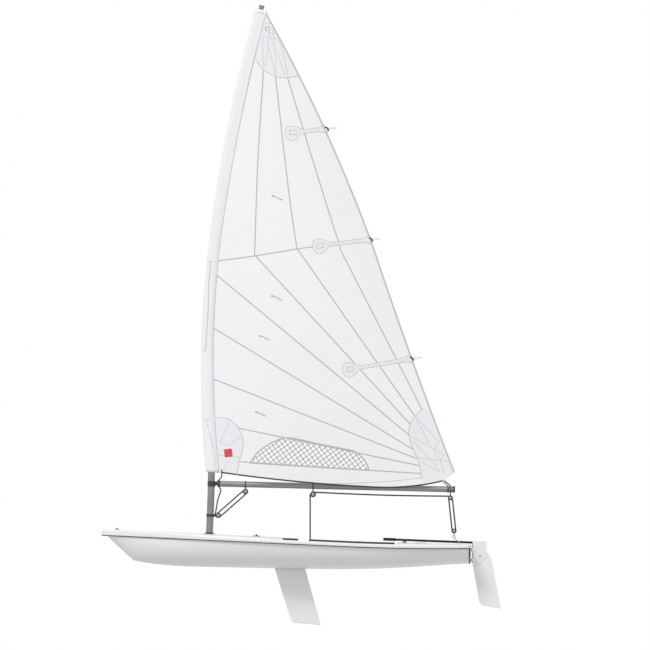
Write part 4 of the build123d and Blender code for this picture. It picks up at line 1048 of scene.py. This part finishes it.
def make_batten(name, inner, outer, end, edges):
    """A batten in its pocket: a leaf-shaped inner patch, two tapes to the leech and a strap."""
    start, leech = Vector(inner), Vector(outer)
    far = (leech - start).length
    way = (leech - start).normalized()
    up = Vector((-way.y, way.x))

    def at(along, above):
        return start + way * along + up * above

    leaf = [at(u, v) for u, v in LEAF_TOP]
    low = [at(u, -v) for u, v in LEAF_LOW]
    tail_up = [at(0.6 * far, 0.022), at(far - 0.08, 0.030), at(far - 0.020, 0.060)]
    tail_low = [at(0.6 * far, -0.020), at(far - 0.10, -0.022), at(far + 0.010, -0.045)]
    step = 20 * MM
    outline = smooth_path(leaf, step) + tail_up + tail_low[::-1] + smooth_path(low, step)
    panel(name + "_pocket", "patch", outline, 30 * MM, POCKET)
    for line in (leaf + tail_up, low[::-1] + tail_low, [low[-1], at(-0.028, 0), leaf[0]]):
        edges.tape(smooth_path(line, step), *POCKET_EDGE)
    batten = Lines()
    batten.tape(smooth_path([at(0.03, 0), Vector(end)], 60 * MM), *BATTEN)
    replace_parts(batten.piece(name + "_strip", "batten", slot="batten"), name)
    strap = Lines()
    line = [at(far - 0.022, 0.027), at(far + 0.006, 0.006), at(far + 0.012, -0.024)]
    strap.tape(smooth_path(line, 10 * MM), *BATTEN_STRAP)
    strap.piece(name + "_strap", "webbing", slot="black_webbing")
    box = Lines()
    half = 26 * MM
    for sign in (1, -1):
        box.tape(smooth_path([at(0.015, sign * half), at(0.100, sign * half)], 30 * MM), *POCKET_STITCHES)
    for along in (0.020, 0.098):
        box.tape(smooth_path([at(along, -half), at(along, half)], 30 * MM), *POCKET_STITCHES)
    box.piece(name + "_stitched_end", "seam")


def make_battens():
    """The three battens, with the edges of their pockets in one piece."""
    edges = Lines()
    for name, marks in BATTENS.items():
        make_batten(name, *marks, edges)
    edges.piece("batten_pocket_edges", "edge")


# Running rigging

# Centres of the blocks: boom middle, boom end, traveller's lower, well floor and the vang's two
MID_BLOCK = (0.3084, 0.7427)
END_BLOCK = (1.8749, 0.7018)
LOW_BLOCK = (1.9152, 0.325)
WELL_BLOCK = (0.3003, 0.090)
VANG_HIGH = (-0.4620, 0.7743)
VANG_LOW = (-0.7724, 0.502)
SHEET_RADIUS, VANG_RADIUS, CUNNINGHAM_RADIUS, TIE_RADIUS = 8.5 * MM, 8 * MM, 7.5 * MM, 7 * MM
# Radii at which the sheet runs round its sheaves, and half the gap between the vang's two parts
MID_SHEAVE, AFT_SHEAVE, VANG_SHEAVE = 25.5 * MM, 21 * MM, 24 * MM
SAG = 10 * MM
CUNNINGHAM = [(-0.732, 1.025), (-0.736, 0.940), (-0.785, 0.883), (-0.776, 0.842), (-0.743, 0.799),
              (-0.760, 0.735), (-0.778, 0.678), (-0.792, 0.600), (-0.804, 0.524), (-0.807, 0.501)]
CUNNINGHAM_SIDE = -22 * MM
CLEW_TIE = [(1.738, -0.030, 0.949), (1.792, -0.034, 0.905), (1.842, -0.036, 0.868), (1.876, -0.030, 0.842)]


def between(a, b, count):
    """Evenly spaced points from a to b."""
    return [a.lerp(b, i / count) for i in range(count + 1)]


def make_mainsheet():
    """The sheet: from the well's block up to the boom, aft along it, and the two parts at its end."""
    fall = Lines()
    x = WELL_BLOCK[0] - 0.025
    fall.rope(between(upright((x, WELL_BLOCK[1])), upright((x, MID_BLOCK[1])), 28), SHEET_RADIUS)
    fall = fall.piece("mainsheet_fall", "rope", "black_rope", body=None)
    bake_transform(fall)
    run = Lines()
    over = [upright(p) for p in ring(MID_BLOCK, MID_SHEAVE, 180, 75)]
    end = upright((END_BLOCK[0] - 0.012, END_BLOCK[1] + 0.020))
    line = between(over[-1], end, 24)
    for i, place in enumerate(line):
        place.z -= SAG * math.sin(math.pi * i / 24)
    run.rope(over[:-1] + line, SHEET_RADIUS)
    run.piece("mainsheet_under_boom", "rope", "black_rope")
    tackle = Lines()
    for off in (-AFT_SHEAVE, AFT_SHEAVE):
        ends = [upright((x + off, z)) for x, z in (LOW_BLOCK, END_BLOCK)]
        tackle.rope(between(*ends, 40), SHEET_RADIUS)
    for block, start in ((LOW_BLOCK, 180), (END_BLOCK, 0)):
        tackle.rope([upright(p) for p in ring(block, AFT_SHEAVE, start, start + 180)], SHEET_RADIUS)
    tackle = tackle.piece("mainsheet_aft_tackle", "rope", "black_rope", body=None)
    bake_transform(tackle)


def make_vang():
    """The kicking strap: two parts between its blocks."""
    vang = Lines()
    low, high = upright(VANG_LOW), upright(VANG_HIGH)
    way = (high - low).normalized()
    side = Vector((-way.z, 0, way.x)) * VANG_SHEAVE
    for sign in (-1, 1):
        vang.rope(between(low + side * sign, high + side * sign, 8), VANG_RADIUS)
    vang.piece("vang_tackle", "rope", "black_rope")


def make_control_lines():
    """The cunningham down the mast, and the clew's tie to the boom."""
    lines = Lines()
    lines.rope([upright(p, CUNNINGHAM_SIDE) for p in smooth_path(CUNNINGHAM, 20 * MM)], CUNNINGHAM_RADIUS)
    lines.rope(CLEW_TIE, TIE_RADIUS)
    lines.piece("cunningham_and_outhaul", "rope", "black_rope")


# Pins, pads and hull trim

# Pins through the blocks: centre, radius of the head in millimetres, and body
PINS = [(MID_BLOCK, 18, "rig"), (END_BLOCK, 15, "rig"), (VANG_HIGH, 17, "rig"), (VANG_LOW, 17, "rig"),
        (LOW_BLOCK, 15, "hull"), (WELL_BLOCK, 15, "hull")]
PIN_SIDE, PIN_HEIGHT = 10.8 * MM, 2.6 * MM
# Rivets in the boom's front fitting and its end cap
RIVETS = [(-0.768, 0.862), (1.912, 0.8005)]
RIVET_SIDE, RIVET_RADIUS, RIVET_HEIGHT = 36.3 * MM, 4.5 * MM, 1.8 * MM


def dome(verts, faces, centre, way, radius, height):
    """Adds a shallow dome, such as a pin's head, that stands on centre and points along way."""
    sides, rings = 20, 4
    centre, way = Vector(centre), Vector(way)
    side = way.orthogonal().normalized()
    other = way.cross(side)
    base = len(verts)
    for j in range(rings + 1):
        r = radius * math.cos(math.pi / 2 * j / (rings + 0.5))
        up = height * math.sin(math.pi / 2 * j / rings)
        for k in range(sides):
            angle = math.tau * k / sides
            verts.append(centre + side * r * math.cos(angle) + other * r * math.sin(angle) + way * up)
    for j in range(rings):
        for k in range(sides):
            a, b = base + j * sides + k, base + j * sides + (k + 1) % sides
            faces.append((a, b, b + sides, a + sides))
    faces.append(tuple(base + rings * sides + k for k in range(sides)))
    faces.append(tuple(base + k for k in reversed(range(sides))))


def make_pins():
    """Steel pins through the blocks, and rivets in the fittings on the boom."""
    groups = {"rig": [], "hull": []}
    for place, radius, body in PINS:
        groups[body].append((place, PIN_SIDE, radius * MM, PIN_HEIGHT))
    for place in RIVETS:
        groups["rig"].append((place, RIVET_SIDE, RIVET_RADIUS, RIVET_HEIGHT))
    for body, rows in groups.items():
        verts, faces = [], []
        for place, out, radius, height in rows:
            for side in (-1, 1):
                dome(verts, faces, upright(place, side * out), (0, side, 0), radius, height)
        new_piece(f"{body}_pins", mesh_of(f"{body}_pins", verts, faces), body, "steel")


def soft_box(verts, faces, low, high, radius):
    """Adds a box with rounded edges between two corners."""
    shape = bmesh.new()
    bmesh.ops.create_cube(shape, size=1)
    low, high = Vector(low), Vector(high)
    for v in shape.verts:
        v.co = Vector(((low[i] + high[i]) / 2 + v.co[i] * (high[i] - low[i])) for i in range(3))
    bmesh.ops.bevel(shape, geom=list(shape.edges), offset=radius, segments=3, profile=0.5, affect="EDGES")
    shape.verts.index_update()
    base = len(verts)
    verts += [v.co.copy() for v in shape.verts]
    faces += [tuple(base + v.index for v in face.verts) for face in shape.faces]
    shape.free()


# Heights between the gudgeons, where the pads fill the gap between the transom and the rudder's head; their
# black paints the shade in that gap
PAD_SPANS = [(-0.040, -0.019), (0.018, 0.097), (0.133, 0.166)]
HEAD_PAD_SPANS = PAD_SPANS[:2] + [(0.133, 0.204)]
# Piece, body, back and front, half width, spans
PADS = [("transom_shade_pads", "hull", 2.0958, 2.1050, 0.045, PAD_SPANS),
        ("rudder_head_shade_pads", "rudder", 2.1200, 2.1268, 0.009, HEAD_PAD_SPANS)]


def make_transom_pads():
    """Black rubber pads on the transom and on the rudder head's front, between the gudgeons. Their black
    paints the shade in the gap between the transom and the rudder.
    """
    for name, body, x0, x1, half, spans in PADS:
        verts, faces = [], []
        for z0, z1 in spans:
            soft_box(verts, faces, (x0, -half, z0), (x1, half, z1), 2.0 * MM)
        new_piece(name, mesh_of(name, verts, faces), body, "dark_trim_and_shade")


# The gunwale's lower edge seen from the side: straight from the bow, then an arc that ends the deck
DECK_END = 2.1358
SHEER_START, SHEER_TURN = Vector((-2.184, 0.27907)), Vector((0.6006, 0.14906))
SHEER = [SHEER_START] + arc_points(SHEER_TURN, SHEER_TURN - SHEER_START, (DECK_END, 0.125), 40)[0]
HALF_BEAM, TRANSOM = 0.69, 2.0958
# The gunwale from above: arcs that run on from each other, from the bow to the transom
GUNWALE_MARKS = [(-2.10294, 0), (-2.03994, 0.10005), (-0.90006, 0.51474), (0.4998, HALF_BEAM),
                 (TRANSOM, 0.54027)]


def sheer(x):
    """Height of the gunwale's lower edge at a place along the hull."""
    for a, b in zip(SHEER, SHEER[1:]):
        if a.x <= x <= b.x:
            return a.y + (b.y - a.y) * (x - a.x) / (b.x - a.x)
    return SHEER[-1].y


def gunwale_side():
    """The gunwale's outline to port seen from above, from the bow to the transom."""
    way, line = Vector((0, 1)), []
    for a, b in zip(GUNWALE_MARKS, GUNWALE_MARKS[1:]):
        points, way = arc_points(a, way, b, 30)
        line += points[bool(line):]
    return line


def transom_side():
    """Half of the transom's outline from the keel to the gunwale, as across and up."""
    wide, bottom, bilge_y, bilge_z = 0.5175, -0.0462, 0.3519, -0.00952
    side = [Vector((y, z)) for y, z in ((-bilge_y, bilge_z), (0, bottom), (bilge_y, bilge_z))]
    low = arc_through(*side, 40)
    way = (low[-1] - low[-2]).normalized()
    high = arc_points(low[-1], way, (wide, sheer(TRANSOM) + 0.020), 16)[0]
    return low[20:] + high[1:]


STRIP_RADIUS, STRIP_INSET, EDGING_RADIUS, EDGING_PLACE = 6.5 * MM, 8 * MM, 7 * MM, 2.0925


def make_hull_trim():
    """The dark strip under the gunwale's lip, at the hull and deck's joint, and the rubber edging round the
    transom. Their black also paints the shadow lines under the lip and at the stern: painted shade.
    """
    strip = Lines()
    port = gunwale_side()
    for sign in (-1, 1):
        path = []
        for i, p in enumerate(port):
            way = heading(port, i)
            inner = p - Vector((-way.y, way.x)) * STRIP_INSET
            if inner.y >= 0:
                path.append(Vector((inner.x, sign * inner.y, sheer(inner.x) + 2 * MM)))
        strip.rope(path, STRIP_RADIUS, 8)
    strip.piece("gunwale_shadow_line_strip", "dark_trim_and_shade", "black_nylon", body="hull")
    edging = Lines()
    half = transom_side()
    outline = [Vector((EDGING_PLACE, -p.x, p.y)) for p in half[::-1]]
    edging.rope(outline + [Vector((EDGING_PLACE, p.x, p.y)) for p in half[1:]], EDGING_RADIUS, 8)
    edging.piece("transom_shadow_line_edging", "dark_trim_and_shade", "black_nylon", body="hull")


# Deck rim

# The deck's crown fore and aft of the well, and at the stern, with the well's two ends
CROWN_FORE, CROWN_AFT, CROWN_STERN = 29 * MM, 24 * MM, 4 * MM
WELL_FRONT, WELL_BACK = -0.0357, 1.2663
GUNWALE_HEIGHT = 45 * MM
# The rim's radius along the sides and at the bow, and where it starts to grow
ROLL, ROLL_AT_BOW, BOW_START, BOW_LENGTH = 20 * MM, 30 * MM, 1.85, 0.2
SLACK = 0.3 * MM
CUTTER_REACH, CUTTER_RISE = 20 * MM, 30 * MM


def deck_lift(x, y):
    """How far the deck's crown stands above its flat part, fore and aft of the well."""
    across = (y / HALF_BEAM) ** 2
    if x < WELL_FRONT:
        return max(CROWN_FORE * (1 - across), 0)
    if x > WELL_BACK:
        share = (x - WELL_BACK) / (DECK_END - WELL_BACK)
        return max(CROWN_AFT + (CROWN_STERN - CROWN_AFT) * share - CROWN_AFT * across, 0)
    return 0


def deck_top(x, y):
    return sheer(x) + GUNWALE_HEIGHT + deck_lift(x, y)


def rim_cutter():
    """The solid outside the rolled rim: a hollow quarter round, swept along the gunwale."""
    port = gunwale_side()
    line = [Vector((p.x, -p.y)) for p in port[:0:-1]] + port
    line = [line[0] + Vector((0.03, 0.006))] + line + [line[-1] + Vector((0.03, -0.006))]
    verts, faces, count = [], [], 12
    for i, p in enumerate(line):
        way = heading(line, i)
        inward = Vector((way.y, -way.x))
        if inward.dot(Vector((0.5, 0)) - p) < 0:
            inward = -inward
        r = ROLL + (ROLL_AT_BOW - ROLL) * clamp((-p.x - BOW_START) / BOW_LENGTH)
        top = deck_top(p.x, p.y)
        inner = p + inward * r
        rise = deck_top(inner.x, inner.y) - top
        row = [(-CUTTER_REACH, top - r + SLACK)]
        for k in range(count + 1):
            angle = math.pi / 2 * k / count
            row.append((r - r * math.cos(angle) - SLACK,
                        top - r + r * math.sin(angle) + rise * (1 - math.cos(angle)) + SLACK))
        row += [(r - SLACK, top + CUTTER_RISE), (-CUTTER_REACH, top + CUTTER_RISE)]
        for n, z in row:
            place = p + inward * n
            verts.append((place.x, place.y, z))
    wide = count + 4
    for i in range(len(line) - 1):
        for k in range(wide):
            a, b = i * wide + k, i * wide + (k + 1) % wide
            faces.append((a, b, b + wide, a + wide))
    faces += [tuple(range(wide))[::-1], tuple(range(len(verts) - wide, len(verts)))]
    cutter = bpy.data.objects.new("rim_cutter", mesh_of("rim_cutter", verts, faces))
    bpy.context.scene.collection.objects.link(cutter)
    shape = bmesh.new()
    shape.from_mesh(cutter.data)
    bmesh.ops.recalc_face_normals(shape, faces=shape.faces)
    shape.to_mesh(cutter.data)
    shape.free()
    return cutter


def roll_deck_rim():
    """The deck with its upper rim rolled over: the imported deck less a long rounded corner."""
    cutter = rim_cutter()
    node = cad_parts["deck"]
    shape = bmesh.new()
    shape.from_mesh(node.data)
    shape.transform(node.matrix_world)
    bmesh.ops.remove_doubles(shape, verts=shape.verts, dist=0.02 * MM)
    mesh = bpy.data.meshes.new("rolled_deck")
    shape.to_mesh(mesh)
    shape.free()
    deck = new_piece("rolled_deck", mesh, None, "deck")
    cut = deck.modifiers.new("rim", "BOOLEAN")
    cut.operation = "DIFFERENCE"
    cut.solver = "EXACT"
    cut.object = cutter
    bpy.context.view_layer.update()
    final = bpy.data.meshes.new_from_object(deck.evaluated_get(bpy.context.evaluated_depsgraph_get()))
    deck.modifiers.clear()
    deck.data = final
    final.shade_smooth()
    final.set_sharp_from_angle(angle=math.radians(32))
    bpy.data.objects.remove(cutter)
    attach(deck, "hull")
    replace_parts(deck, "deck")


# Sheets


place_camera()
light_scene()
lay_floor()
finishes = make_finishes()
dress_nodes(finishes)
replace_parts(make_panels(), "sail")
make_window()
make_seams()
make_patches()
make_head_eye()
make_hems()
make_sleeve()
make_sleeve_lines()
make_emblem()
make_telltales()
make_battens()
make_mainsheet()
make_vang()
make_control_lines()
make_hull_trim()
make_pins()
roll_deck_rim()
make_transom_pads()
